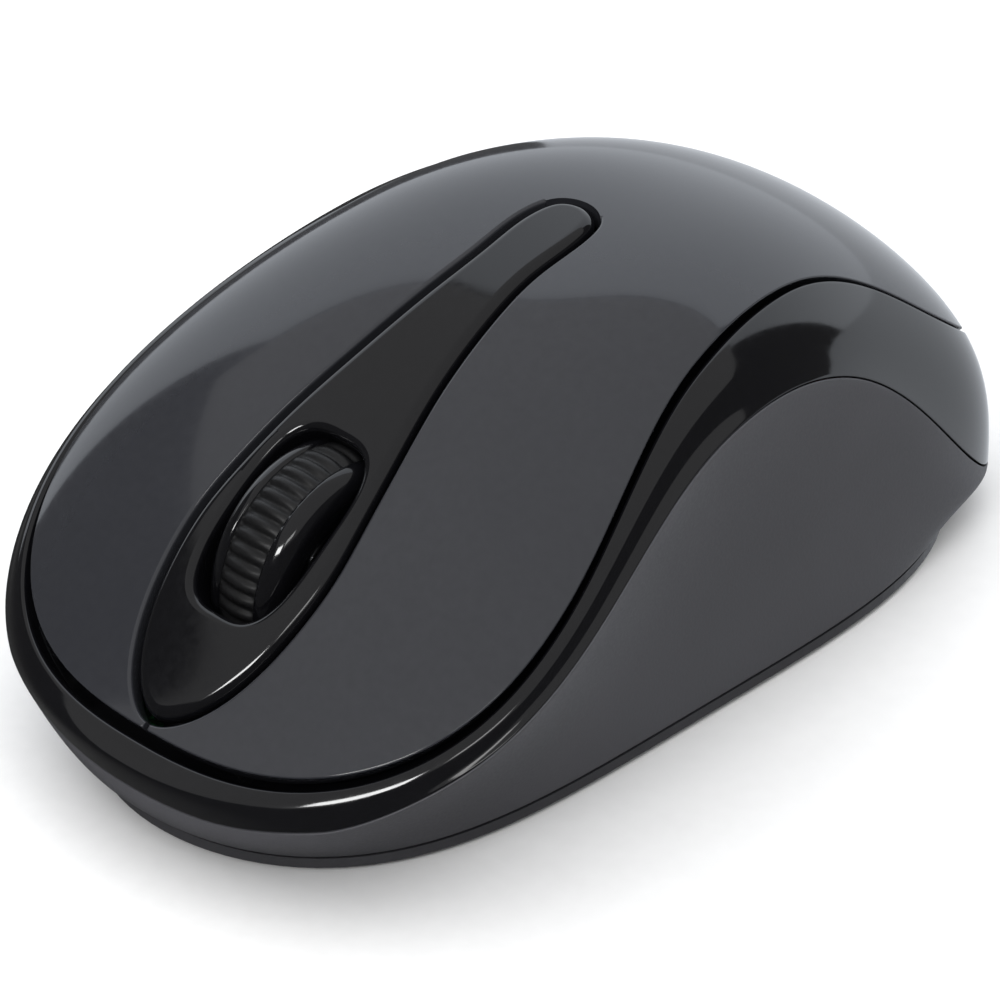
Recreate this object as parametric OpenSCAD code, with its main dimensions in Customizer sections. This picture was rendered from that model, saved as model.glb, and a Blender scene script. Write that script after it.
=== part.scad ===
// Compact cordless computer mouse with an oval body, a spoon-shaped centre trim and waisted side grips.
// Millimetres. Origin on the desk under the middle of the body, +Z up, front (wheel end) toward -Y.

/* [Body] */
// Overall length of the body
body_len = 98; // [98:1:118]
// Width of the dome's full outline, which the side grips cut back
body_w = 64.4; // [62:0.2:78]
// Height of the highest point of the dome above the desk
body_h = 39.2; // [38:0.2:47]
// Width of the base outline, narrower than the body
base_w = 43.2; // [42:0.2:52]
// Distance from the nose of the body to the nose of the base outline
base_inset_front = 4.2; // [3:0.1:8]
// Distance from the tail of the body to the tail of the base outline
base_inset_rear = 4; // [3:0.1:4.5]
// Height of the widest line of the body at the nose
waterline_front = 9.4; // [9:0.1:9.6]
// Height of the widest line of the body at the tail
waterline_rear = 3.4; // [3.2:0.1:5]

/* [Shells] */
// Wall of the top cover, the band and the lower case
wall = 1.8; // [1.5:0.1:2.2]
// Gap between cover and band at the nose, wide enough for the button stroke
seam_front = 1.1; // [1:0.05:1.4]
// Gap between cover and band at the tail
seam_rear = 0.3; // [0.2:0.05:0.5]
// Gap between band and lower case
case_seam = 0.2; // [0.15:0.05:0.4]
// Gap round the centre trim
trim_gap = 0.5; // [0.45:0.05:0.8]
// Height of the centre trim above the cover
trim_proud = 0.25; // [0.1:0.05:0.5]
// Y of the line where the button fingers flex
flex_y = 5; // [2:0.5:6]
// Slot between button fingers and palm cover
flex_slot = 0.4; // [0.3:0.05:0.6]

/* [Wheel] */
// Radius of the tyre
wheel_r = 10.7; // [9.5:0.1:11]
// Width of the rubber tyre
tyre_w = 4.2; // [3.6:0.1:4.8]
// Thickness of each gloss disc beside the tyre
disc_t = 1.8; // [1.4:0.1:1.9]
// Thickness of the tyre's rubber
tyre_t = 1.7; // [1.4:0.1:2.2]
// Number of ribs round the tyre
tyre_ribs = 48; // [36:1:60]
// Distance of the wheel's axis behind the nose
wheel_setback = 24; // [23:0.5:28]
// Height of the tyre's top above the cover's skin
wheel_proud = 0.4; // [0:0.1:1.5]
// Radius of the wheel's axle
axle_r = 1.5; // [1.2:0.1:1.8]
// Radius of the carrier's pivot pin
pivot_r = 0.9; // [0.7:0.1:1]
// Running clearance of pins in their bores
run_gap = 0.05; // [0.03:0.01:0.08]
// Half width of the trim's wheel opening
opening_half_w = 5.1; // [5:0.1:5.6]
// Half length of the trim's wheel opening, along the slope
opening_half_len = 9; // [8.6:0.1:9.6]

/* [Base] */
// Thickness of the glide feet below the base
foot_t = 0.6; // [0.5:0.05:0.8]
// Thickness of the base plate
base_t = 1.8; // [1.6:0.1:2]
// Gap between the lower case and the rim of the base
base_seam = 0.25; // [0.2:0.05:0.4]
// Thickness of the battery door
door_t = 1; // [0.8:0.05:1.1]
// Sliding clearance of the battery door
door_gap = 0.05; // [0.04:0.01:0.1]
// Travel of the power switch knob
knob_travel = 2; // [1.5:0.1:2.5]

/* [Electronics] */
// Thickness of the circuit board
board_t = 1.2; // [1:0.1:1.6]
// Height of the board's underside above the base plate
board_lift = 2.6; // [2.4:0.1:3]
// Height of a button switch body
switch_h = 6.5; // [6:0.1:7]
// Travel left free between a switch plunger and what presses it
press_gap = 0.08; // [0.05:0.01:0.2]
// Distance of the button switches from the middle
switch_x = 14.5; // [14:0.1:15.5]
// Diameter of the battery cell
cell_d = 14.5; // [13.5:0.1:14.5]
// Length of the battery cell with its nub
cell_len = 50.5; // [49:0.1:50.5]

/* [Hidden] */

half_len = body_len / 2;
// Half width along the body, as a share of the whole, at stations from nose -1 to tail 1
width_share = [[-1, 0.9], [-0.55, 1], [-0.1, 0.93], [0.35, 0.81], [0.7, 0.855], [1, 1.15]];
// Height of the dome over the middle line, as a share of the whole
crown_share = [[-1, 0.255], [-0.55, 0.697], [-0.1, 0.97], [0.35, 1], [0.7, 0.847], [1, 0.6]];
nose_power = 4.5;
tail_power = 2.05;
shoulder_in = 1.5;
shoulder_out = 3.1;
base_power = 4;
// The two seams as levels on the skin, by angle from the nose: 0 at the top, 1 at the widest line
cover_seam = [[0, 0.62], [20, 0.655], [45, 0.56], [65, 0.385], [90, 0.305], [110, 0.318],
    [135, 0.405], [155, 0.58], [180, 0.7]];
case_seam_line = [[0, 1.38], [13, 1.33], [21, 1.15], [27, 0.99], [33, 0.85], [45, 0.69], [65, 0.5],
    [90, 0.443], [105, 0.49], [125, 0.666], [138, 0.86], [147, 0.96], [180, 0.97]];
// How far the wall of the lower case bows in (grips) or out (nose), by angle from the nose
case_bow = [[0, -0.8], [30, -0.4], [65, 0.9], [90, 1.3], [115, 0.4], [140, -1], [160, -1], [180, -0.6]];
// Half width of the centre trim along its length, from its nose 0 to its tail 1
trim_share = [[0, 2.2], [0.04, 4.6], [0.1, 6.4], [0.18, 7.5], [0.25, 7.7], [0.32, 7.2], [0.42, 6.2],
    [0.54, 4.8], [0.7, 3.5], [0.82, 3], [0.95, 2.9]];
trim_front = -half_len + 4.6;
trim_rear = 6.5;
trim_end_r = 2.9;
trim_nose_r = 0.7;
trim_t = 1.2;
trim_steps = 32;

ring_steps = 68;
cover_rows = 9;
base_bottom = foot_t;
base_top = base_bottom + base_t;
case_edge_z = base_top - 0.6;
rim_top = case_edge_z - base_seam;
rim_ledge = wall + 0.4;
wheel_y = -half_len + wheel_setback;
// Height of the wheel's axis, to a tenth
wheel_z = round(10 * (dome_z(0, wheel_y) + wheel_proud - wheel_r)) / 10;
core_r = wheel_r - tyre_t;
disc_r = wheel_r - 0.3;
wheel_half = tyre_w / 2 + disc_t;
arm_gap = 1.1;
arm_t = 1.4;
arm_in = wheel_half + arm_gap;
arm_out = arm_in + arm_t;
pivot_y = wheel_y + 12.1;
pivot_z = wheel_z - 5.4;
barrel_r = pivot_r + 0.9;
bar_y = wheel_y - 13;
bar_z = wheel_z - 6.6;
bar_r = 1.2;
tower_gap = 0.6;
tower_t = 2.2;
board_z = base_top + board_lift;
board_top = board_z + board_t;
switch_y = wheel_y - 3;
switch_w = 5.8;
switch_len = 12.8;
plunger_h = 0.6;
sensor_y = pivot_y - 1.9;
board_rear = pivot_y + 1.6;
board_tail = pivot_y + 13.9;
wall_t = 0.9;
cell_y = board_rear + 2.7;
cell_z = base_top + 0.55 + cell_d / 2;
cell_end = cell_y + cell_len;
door_half_w = 9.2;
door_front = cell_y - 1.4;
lip_w = 0.8;
lip_t = 0.55;
knob_x = 14.6;
knob_y = pivot_y + 6.9;
boss_x = 14.6;
boss_y = cell_y + 36;
boss_r = 2.8;
screw_r = 1.1;
fit_gap = 0.02;
bay_x = wall - 16.4;
bay_y = cell_y + 21.2;
receiver_t = 5.8;
receiver_w = 13.6;
receiver_len = 18.6;
plug_len = 12;
slit_w = 0.5;
oval_power = 3.2;

// ---- curves and the skin ----
function lerp(a, b, u) = a + (b - a) * u;
function unit(v) = v / norm(v);
function slope(p, i, flat) = i > 0 && i < len(p) - 1
    ? (p[i + 1][1] - p[i - 1][1]) / (p[i + 1][0] - p[i - 1][0])
    : flat ? 0
    : i == 0 ? 1.5 * chord(p, 0) - 0.5 * slope(p, 1, flat)
    : 1.5 * chord(p, i - 1) - 0.5 * slope(p, i - 1, flat);
function chord(p, i) = (p[i + 1][1] - p[i][1]) / (p[i + 1][0] - p[i][0]);
// Smooth curve through hand-set stations [position, value]
function smooth(p, at, flat = false) =
    let (x = min(max(at, p[0][0]), p[len(p) - 1][0]))
    let (i = max([0, for (k = [0 : len(p) - 2]) if (x >= p[k][0]) k]))
    let (h = p[i + 1][0] - p[i][0], u = (x - p[i][0]) / h)
    p[i][1] * (1 + 2 * u) * pow(1 - u, 2) + h * slope(p, i, flat) * u * pow(1 - u, 2)
    + p[i + 1][1] * u * u * (3 - 2 * u) + h * slope(p, i + 1, flat) * u * u * (u - 1);
function fold(th) = th > 180 ? 360 - th : th;
function half_w(t) = smooth(width_share, t) * body_w / 2;
function waterline(t) = lerp(waterline_front, waterline_rear, (t + 1) / 2);
function end_rise(t) = pow(abs(t), t < 0 ? nose_power : tail_power);
function dome_z(x, y) =
    let (t = y / half_len, f = min(1, pow(x / half_w(t), 2) + end_rise(t)))
    waterline(t) + (smooth(crown_share, t) * body_h - waterline(t))
        * pow(1 - pow(f, shoulder_in), 1 / shoulder_out);
function rim_xy(th) =
    let (t = -cos(th))
    [half_w(t) * sqrt(max(0, 1 - end_rise(t))) * sign(sin(th)), t * half_len];
function base_xy(th) =
    let (t = -cos(th), mid = (base_inset_front - base_inset_rear) / 2)
    let (reach = half_len - (base_inset_front + base_inset_rear) / 2)
    [base_w / 2 * pow(max(0, 1 - pow(abs(t), base_power)), 1 / 2) * sign(sin(th)), mid + t * reach];
// Point on the dome at angle th and level w; past 1 it tucks under at the nose
function dome_pt(th, w) =
    let (r = rim_xy(th), s = 1 - pow(1 - min(w, 1), shoulder_out), under = max(0, w - 1))
    let (x = r[0] * s, y = r[1] * s)
    under == 0 ? [x, y, dome_z(x, y)]
    : [x * (1 - 0.02 * pow(under / 0.36, 1.5)), y + pow(under / 0.36, 1.5) * cos(th),
        lerp(waterline(y / half_len), case_edge_z, under)];
function seam_w(th) = smooth(cover_seam, fold(th), true);
function case_w(th) = smooth(case_seam_line, fold(th), true);
// Point on the wall of the lower case, from the band seam at v 0 to the base edge at v 1
function wall_pt(th, v) =
    let (top = dome_pt(th, case_w(th)), b = base_xy(th))
    let (bow = smooth(case_bow, fold(th), true) * sin(180 * v), out = unit([b[0], b[1] * 0.5]))
    [lerp(top[0], b[0], v) - bow * out[0], lerp(top[1], b[1], v) - bow * out[1],
        lerp(top[2], case_edge_z, v)];
// Skin point: levels up to 2 run over the dome, levels 2 to 3 down the lower case
function skin(th, w) = w < 2 ? dome_pt(th, w) : wall_pt(th, w - 2);
function skin_normal(th, w) =
    let (a = skin(th + 1, w) - skin(th - 1, w), d = w < 2 ? 0.01 : 0.04)
    let (hi = w < 2 ? w : min(w + d, 3), lo = w < 2 ? max(w - d, 0.01) : max(w - d, 2))
    unit(cross(skin(th, hi + (w < 2 ? d : 0)) - skin(th, lo), a));
function inset(th, w, t) = skin(th, w) - t * skin_normal(th, max(w, 0.02));
// Change of level that moves a point of the skin by a length
function level_step(th, w, mm) = mm / (norm(skin(th, w + 0.01) - skin(th, w - 0.01)) / 0.02);
function seam_gap(th) = lerp(seam_front, seam_rear, (1 - cos(fold(th))) / 2);

// ---- closed solids between two layers of points ----
function tri_pairs(a, b, c, d) = [[c, b, a], [d, c, a]];
// Faces of a ring of rows; rows run round the body and close on themselves
function ring_faces(rows, n, start, flip) = [for (j = [0 : rows - 2], i = [0 : n - 1])
    let (a = start + j * n + i, b = start + j * n + (i + 1) % n)
    for (f = tri_pairs(a, b, b + n, a + n)) flip ? [f[2], f[1], f[0]] : f];
function edge_faces(n, a0, b0, flip) = [for (i = [0 : n - 1])
    for (f = tri_pairs(a0 + i, a0 + (i + 1) % n, b0 + (i + 1) % n, b0 + i)) flip ? [f[2], f[1], f[0]] : f];
module ring_solid(outer, inner) {
    rows = len(outer);
    n = len(outer[0]);
    pts = concat([for (r = outer) each r], [for (r = inner) each r]);
    polyhedron(pts, concat(
        ring_faces(rows, n, 0, true),
        ring_faces(rows, n, rows * n, false),
        edge_faces(n, 0, rows * n, false),
        edge_faces(n, (rows - 1) * n, (2 * rows - 1) * n, true)));
}
function angles() = [for (i = [0 : ring_steps - 1]) (i + 0.5) * 360 / ring_steps];
// Dome cap from the top down to an edge level, as a closed solid between two depths
module cap_solid(edge_gap, depth_out, depth_in) {
    ths = angles();
    n = ring_steps;
    function row(k, depth) = [for (th = ths)
        let (edge = seam_w(th) - level_step(th, seam_w(th), edge_gap * seam_gap(th)))
        inset(th, edge * k / cover_rows, depth)];
    top = [0, 0, dome_z(0, 0) - depth_out];
    low = [0, 0, dome_z(0, 0) - depth_in];
    outer = [for (k = [1 : cover_rows]) each row(k, depth_out)];
    inner = [for (k = [1 : cover_rows]) each row(k, depth_in)];
    m = cover_rows * n;
    polyhedron(concat(outer, inner, [top, low]), concat(
        ring_faces(cover_rows, n, 0, true),
        ring_faces(cover_rows, n, m, false),
        edge_faces(n, m - n, 2 * m - n, true),
        [for (i = [0 : n - 1]) [2 * m, (i + 1) % n, i]],
        [for (i = [0 : n - 1]) [2 * m + 1, m + i, m + (i + 1) % n]]));
}
// Keeps a freeform boolean in one triangle mesh
module as_mesh() {
    resize([0, 0, 0]) children();
}

// ---- outlines ----
function trim_half(y) = smooth(trim_share, (y - trim_front) / (trim_rear - trim_front));
// Outline of the centre trim: its two sides between a round tail and a flat-oval nose
module trim_plan(grow) {
    tail_y = trim_rear - trim_end_r;
    ys = [for (k = [0 : trim_steps]) lerp(trim_front, tail_y, k / trim_steps)];
    offset(delta = grow)
        polygon(concat(
            [for (y = ys) [trim_half(y), y]],
            [for (a = [15 : 15 : 165]) [trim_half(tail_y) * cos(a), tail_y + trim_end_r * sin(a)]],
            [for (k = [trim_steps : -1 : 0]) [-trim_half(ys[k]), ys[k]]],
            [for (a = [195 : 15 : 345]) [trim_half(trim_front) * cos(a), trim_front + trim_nose_r * sin(a)]]));
}
module base_plan(shrink) {
    offset(delta = -shrink)
        polygon([for (i = [0 : 119]) base_xy((i + 0.5) * 3)]);
}
module tall(h = 80, z = -10) {
    translate([0, 0, z])
        linear_extrude(h)
            children();
}
module block(x0, x1, y0, y1, z0, z1) {
    translate([x0, y0, z0])
        cube([x1 - x0, y1 - y0, z1 - z0]);
}
module mirrored() {
    children();
    mirror([1, 0, 0])
        children();
}
module rod_x(r, x0, x1, y, z) {
    translate([x0, y, z])
        rotate([0, 90, 0])
            cylinder(r = r, h = x1 - x0, $fn = 64);
}

// ---- outer shells ----
module cover_shell() {
    difference() {
        cap_solid(0.5, 0, wall);
        tall()
            trim_plan(trim_gap);
    }
}
module palm_cover() {
    color("#46464b")
        as_mesh()
            union() {
                intersection() {
                    cover_shell();
                    block(-60, 60, flex_y + flex_slot / 2, 80, -5, 80);
                }
                intersection() {
                    cap_core();
                    mirrored()
                        difference() {
                            translate([boss_x, boss_y, base_top + 0.4])
                                cylinder(r = boss_r, h = 60, $fn = 32);
                            translate([boss_x, boss_y, 0])
                                cylinder(r = screw_r + fit_gap, h = base_top + 10, $fn = 32);
                        }
                }
            }
}
// Space under the cover, down to the base
module cap_core() {
    ths = angles();
    rows = [for (k = [1 : 6]) [for (th = ths) inset(th, seam_w(th) * 0.92 * k / 6, wall - 0.3)]];
    n = ring_steps;
    pts = concat([for (r = rows) each r], [for (p = rows[5]) [p[0], p[1], 0]],
        [[0, 0, dome_z(0, 0) - wall + 0.3], [0, 0, 0]]);
    polyhedron(pts, concat(
        ring_faces(7, n, 0, true),
        [for (i = [0 : n - 1]) [7 * n, (i + 1) % n, i]],
        [for (i = [0 : n - 1]) [7 * n + 1, 6 * n + i, 6 * n + (i + 1) % n]]));
}
module button_finger(side) {
    post_z = board_top + switch_h + plunger_h + press_gap;
    color("#46464b")
        as_mesh()
            union() {
                intersection() {
                    cover_shell();
                    block(side > 0 ? slit_w / 2 : -60, side > 0 ? 60 : -slit_w / 2, -80, flex_y - flex_slot / 2, -5, 80);
                }
                intersection() {
                    cap_core();
                    block(side * switch_x - 1.5, side * switch_x + 1.5, switch_y - 1.5, switch_y + 1.5, post_z, 60);
                }
            }
}
module right_button() {
    button_finger(-1);
}
module left_button() {
    button_finger(1);
}
// Rounded-oval outline of the wheel opening
function oval_pt(a) = [opening_half_w * sign(cos(a)) * pow(abs(cos(a)), 2 / oval_power),
    opening_half_len * sign(sin(a)) * pow(abs(sin(a)), 2 / oval_power)];
module centre_trim() {
    tilt = atan2(dome_z(0, wheel_y - 1) - dome_z(0, wheel_y - 9), 8);
    slot_y = wheel_y - 5.2;
    color("#26262a")
        as_mesh()
            difference() {
                intersection() {
                    cap_solid(0.6, -trim_proud, trim_t);
                    tall()
                        trim_plan(0);
                }
                translate([0, slot_y, dome_z(0, slot_y)])
                    rotate([tilt, 0, 0])
                        translate([0, 0, -15])
                            linear_extrude(30)
                                polygon([for (a = [0 : 5 : 355]) oval_pt(a)]);
            }
}
module side_band() {
    ths = angles();
    rows = 6;
    function level(th, k) =
        let (a = seam_w(th) + level_step(th, seam_w(th), 0.5 * seam_gap(th)))
        let (b = case_w(th) - level_step(th, case_w(th), case_seam))
        lerp(a, b, k / (rows - 1));
    color("#232327")
        ring_solid([for (k = [0 : rows - 1]) [for (th = ths) inset(th, level(th, k), 0)]],
            [for (k = [0 : rows - 1]) [for (th = ths) inset(th, level(th, k), wall)]]);
}
module lower_case() {
    ths = angles();
    rows = 6;
    color("#3c3c3f")
        ring_solid([for (k = [0 : rows - 1]) [for (th = ths) wall_pt(th, k / (rows - 1))]],
            [for (k = [0 : rows - 1]) [for (th = ths) case_inner(th, k / (rows - 1))]]);
}
// Inner face of the lower case: along the band's edge at the top, straight in at the bottom
function case_inner(th, v) =
    let (top = skin_normal(th, case_w(th)), q = skin_normal(th, 2 + v), level = unit([q[0], q[1], 0]))
    wall_pt(th, v) - wall * unit(lerp(top, level, min(1, 2.5 * v)));

// ---- base ----
module base_plate() {
    color("#2d2d30")
        difference() {
            union() {
                base_floor();
                base_towers();
                intersection() {
                    battery_walls();
                    tall()
                        base_plan(rim_ledge);
                }
                receiver_pocket();
            }
            base_cuts();
        }
}
module base_floor() {
    translate([0, 0, base_bottom])
        linear_extrude(rim_top - base_bottom)
            base_plan(0.15);
    translate([0, 0, base_bottom])
        linear_extrude(base_t)
            base_plan(rim_ledge);
}
module base_towers() {
    tower_x = arm_out + tower_gap;
    mirrored()
        block(tower_x, tower_x + tower_t, pivot_y - 2.2, pivot_y + 2.2, base_bottom, pivot_z + 2.2);
    for (p = board_screw_places())
        translate([p[0], p[1], base_bottom])
            cylinder(r = 2.1, h = board_z - base_bottom, $fn = 48);
}
module battery_walls() {
    mirrored()
        block(cell_d / 2 + 0.35, cell_d / 2 + 0.35 + wall_t, cell_y - 1.6, cell_end + 1.2, base_bottom + door_t + 0.3,
            cell_z + 1);
    block(-5.6, 5.6, board_rear + 0.3, board_rear + 0.3 + wall_t, base_bottom, pivot_z - barrel_r - 0.5);
    block(-5.6, 5.6, cell_end + 0.5, cell_end + 0.5 + wall_t, base_bottom + door_t + 0.3, cell_z + 1);
}
module receiver_pocket() {
    difference() {
        block(bay_x - receiver_t / 2 - 1.1, bay_x + receiver_t / 2 + 1.1, bay_y - receiver_len / 2 - 1.1,
            bay_y + receiver_len / 2 + 1.1, base_bottom, base_bottom + receiver_w + 1.4);
        block(bay_x - receiver_t / 2 - 0.2, bay_x + receiver_t / 2 + 0.2, bay_y - receiver_len / 2 - 0.2,
            bay_y + receiver_len / 2 + 0.2, base_bottom - 1, base_bottom + receiver_w + 0.4);
    }
}
module base_cuts() {
    tower_x = arm_out + tower_gap;
    mirrored()
        rod_x(pivot_r + fit_gap, tower_x - 1, tower_x + tower_t - 0.6, pivot_y, pivot_z);
    for (p = board_screw_places())
        translate([p[0], p[1], base_bottom + 1])
            cylinder(r = 0.9, h = 20, $fn = 32);
    mirrored()
        translate([boss_x, boss_y, 0]) {
            cylinder(r = screw_r + 0.3, h = 20, $fn = 48);
            translate([0, 0, base_bottom - 0.1])
                cylinder(r = 2.4, h = 1.1, $fn = 48);
        }
    block(-3.6, 3.6, sensor_y - 2.9, sensor_y + 2.9, -1, base_top + 1);
    block(-door_half_w - door_gap, door_half_w + door_gap, door_front, 80, -1, base_bottom + door_t + door_gap);
    block(-door_half_w - lip_w - door_gap, door_half_w + lip_w + door_gap, door_front + 2, 80,
        base_bottom + door_t - lip_t - door_gap, base_bottom + door_t + door_gap);
    block(-cell_d / 2 - 0.3, cell_d / 2 + 0.3, cell_y - 0.5, cell_end - 2, -1, base_top + 1);
    block(knob_x - 1.7, knob_x + 1.7, knob_y - 2, knob_y + knob_travel + 2, -1, base_top + 1);
    block(knob_x - 2.4, knob_x + 2.4, knob_y - 2.7, knob_y + knob_travel + 2.7, -1, base_bottom + 0.7);
    block(bay_x - receiver_t / 2 - 0.2, bay_x + receiver_t / 2 + 0.2, bay_y - receiver_len / 2 - 0.2,
        bay_y + receiver_len / 2 + 0.2, base_bottom - 1, base_bottom + receiver_w + 0.4);
}
module battery_door() {
    grips = 5;
    color("#2d2d30")
        difference() {
            intersection() {
                union() {
                    block(-door_half_w, door_half_w, door_front + 0.1, half_len, base_bottom, base_bottom + door_t);
                    block(-door_half_w - lip_w, door_half_w + lip_w, door_front + 2.2, half_len - 6,
                        base_bottom + door_t - lip_t, base_bottom + door_t);
                }
                translate([0, 0, -5])
                    linear_extrude(30)
                        base_plan(0.15);
            }
            for (k = [0 : grips - 1])
                block(-4.5, 4.5, door_front + 5 + 1.6 * k, door_front + 5.8 + 1.6 * k, 0, base_bottom + 0.3);
        }
}
// Outline of a glide foot with round ends
module foot_plan(len, w) {
    hull() {
        translate([-(len - w) / 2, 0, 0])
            circle(r = w / 2, $fn = 40);
        translate([(len - w) / 2, 0, 0])
            circle(r = w / 2, $fn = 40);
    }
}
module front_feet() {
    color("#111113")
        mirrored()
            translate([10.6, -half_len + 12, 0])
                linear_extrude(foot_t)
                    rotate(38)
                        foot_plan(11, 4);
}
module rear_feet() {
    color("#111113")
        mirrored()
            translate([14, boss_y + 7.5, 0])
                linear_extrude(foot_t)
                    rotate(-72)
                        foot_plan(8, 3.6);
}
module case_screws() {
    color("#8a8a8c")
        mirrored()
            translate([boss_x, boss_y, 0]) {
                translate([0, 0, base_bottom + 0.2])
                    cylinder(r = 2.1, h = 0.8, $fn = 40);
                translate([0, 0, base_bottom + 0.9])
                    cylinder(r = screw_r, h = 8.5, $fn = 40);
            }
}

// ---- wheel group ----
module wheel_tyre() {
    groove = 0.35;
    color("#1c1c1d")
        difference() {
            rod_x(wheel_r, -tyre_w / 2, tyre_w / 2, wheel_y, wheel_z);
            rod_x(core_r, -tyre_w, tyre_w, wheel_y, wheel_z);
            translate([0, wheel_y, wheel_z])
                for (k = [0 : tyre_ribs - 1])
                    rotate([k * 360 / tyre_ribs, 0, 0])
                        translate([-tyre_w, -groove, wheel_r - groove])
                            cube([2 * tyre_w, 2 * groove, 1]);
        }
}
module wheel_core() {
    windows = 15;
    color("#1a1a1c")
        difference() {
            union() {
                rod_x(core_r - fit_gap, -tyre_w / 2, tyre_w / 2, wheel_y, wheel_z);
                rod_x(3, -wheel_half, wheel_half, wheel_y, wheel_z);
            }
            rod_x(axle_r + fit_gap, -20, 20, wheel_y, wheel_z);
            translate([0, wheel_y, wheel_z])
                for (k = [0 : windows - 1])
                    rotate([k * 360 / windows, 0, 0])
                        block(-tyre_w, tyre_w, -0.5, 0.5, 3.6, 5.6);
        }
}
module wheel_disc(side) {
    color("#17171a")
        translate([0, wheel_y, wheel_z])
            rotate([0, side * 90, 0])
                translate([0, 0, tyre_w / 2])
                    rotate_extrude($fn = 96)
                        polygon([[6.2, fit_gap], [disc_r, fit_gap], [disc_r, 0.4], [disc_r - 0.25, 0.95],
                            [disc_r - 0.8, 1.4], [disc_r - 1.8, disc_t], [7, disc_t - 0.15],
                            [6.2, disc_t - 0.4]]);
}
module left_wheel_disc() {
    wheel_disc(1);
}
module right_wheel_disc() {
    wheel_disc(-1);
}
module wheel_axle() {
    color("#b9babd")
        rod_x(axle_r, -arm_out - 0.4, arm_out + 0.4, wheel_y, wheel_z);
}
module carrier_arm() {
    difference() {
        translate([arm_in, 0, 0])
            rotate([90, 0, 90])
                linear_extrude(arm_t) {
                    hull() {
                        translate([wheel_y, wheel_z])
                            circle(r = axle_r + 1.2, $fn = 40);
                        translate([pivot_y, pivot_z])
                            circle(r = barrel_r + 0.3, $fn = 40);
                    }
                    hull() {
                        translate([wheel_y, wheel_z])
                            circle(r = axle_r + 1, $fn = 40);
                        translate([bar_y, bar_z])
                            circle(r = bar_r + 0.3, $fn = 40);
                    }
                }
        rod_x(axle_r + run_gap, 0, 20, wheel_y, wheel_z);
    }
}
module wheel_carrier() {
    color("#303236")
        difference() {
            union() {
                mirrored()
                    carrier_arm();
                rod_x(barrel_r, -arm_out + 0.5, arm_out - 0.5, pivot_y, pivot_z);
                rod_x(bar_r, -arm_out + 0.5, arm_out - 0.5, bar_y, bar_z);
            }
            rod_x(pivot_r + run_gap, -20, 20, pivot_y, pivot_z);
        }
}
module carrier_pin() {
    color("#b9babd")
        rod_x(pivot_r, -arm_out - tower_gap - 1.4, arm_out + tower_gap + 1.4, pivot_y, pivot_z);
}

// ---- board and electronics ----
// Half width of the base outline at y, less a distance, to a tenth
function inside_base(y, less) =
    let (reach = half_len - (base_inset_front + base_inset_rear) / 2)
    let (t = (y - (base_inset_front - base_inset_rear) / 2) / reach)
    round(10 * (base_w / 2 * sqrt(1 - pow(abs(t), base_power)) - less)) / 10;
function board_screw_places() =
    let (front_y = switch_y - 8.6, front_x = inside_base(front_y, wall + 3.5))
    let (rear_y = sensor_y + 1, rear_x = inside_base(rear_y, wall + 2.3))
    [[front_x, front_y], [-front_x, front_y], [rear_x, rear_y], [-rear_x, rear_y]];
module board_half() {
    front = -half_len + 8.4;
    polygon([[0, front], [8.5, front], [inside_base(switch_y - 4, 0.2), switch_y - 4], [19.2, pivot_y], [17.6, board_tail],
        [10.2, board_tail], [10.2, sensor_y - 2.6], [arm_out + tower_gap - 0.5, sensor_y - 2.6],
        [arm_out + tower_gap - 0.5, board_rear], [0, board_rear]]);
}
module circuit_board() {
    // Half length of the wheel's dip into the board, with its press stroke
    dip = sqrt(max(0, pow(wheel_r + 0.5, 2) - pow(wheel_z - board_top, 2)));
    color("#1f5a35")
        difference() {
            translate([0, 0, board_z])
                linear_extrude(board_t)
                    mirrored()
                        board_half();
            for (p = board_screw_places())
                translate([p[0], p[1], 0])
                    cylinder(r = 1.15, h = 30, $fn = 32);
            block(-2.2, 2.2, sensor_y - 1.6, sensor_y + 1.6, 0, 30);
            block(-4.6, 4.6, wheel_y - 6, wheel_y + max(3.6, dip + 0.5), 0, 30);
        }
}
module board_screws() {
    color("#8a8a8c")
        for (p = board_screw_places())
            translate([p[0], p[1], 0]) {
                translate([0, 0, board_top + fit_gap])
                    cylinder(r = 1.7, h = 0.9, $fn = 32);
                translate([0, 0, base_bottom + 1.4])
                    cylinder(r = 0.88, h = board_top - base_bottom - 1.3, $fn = 32);
            }
}
module switch_body(side) {
    difference() {
        block(side * switch_x - switch_w / 2, side * switch_x + switch_w / 2, switch_y - switch_len / 2 + 1.5,
            switch_y + switch_len / 2 + 1.5, board_top, board_top + switch_h);
        block(side * switch_x - 1.6, side * switch_x + 1.6, switch_y - 1.1, switch_y + 1.1,
            board_top + switch_h - 1.9, 40);
    }
}
module left_switch() {
    color("#1d1d20")
        switch_body(1);
}
module right_switch() {
    color("#1d1d20")
        switch_body(-1);
}
module switch_plunger(side) {
    color("#e8e6df")
        block(side * switch_x - 1.45, side * switch_x + 1.45, switch_y - 0.95, switch_y + 0.95,
            board_top + switch_h - 1, board_top + switch_h + plunger_h);
}
module left_plunger() {
    switch_plunger(1);
}
module right_plunger() {
    switch_plunger(-1);
}
module middle_switch() {
    top = bar_z - bar_r - press_gap - plunger_h;
    color("#1d1d20")
        difference() {
            block(-3, 3, bar_y - 3, bar_y + 3, board_top, top);
            translate([0, bar_y, top - 1.5])
                cylinder(r = 1.75, h = 5, $fn = 40);
        }
}
module middle_plunger() {
    top = bar_z - bar_r - press_gap;
    color("#b4552d")
        translate([0, bar_y, top - plunger_h - 0.7])
            cylinder(r = 1.6, h = plunger_h + 0.7, $fn = 40);
}
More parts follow.
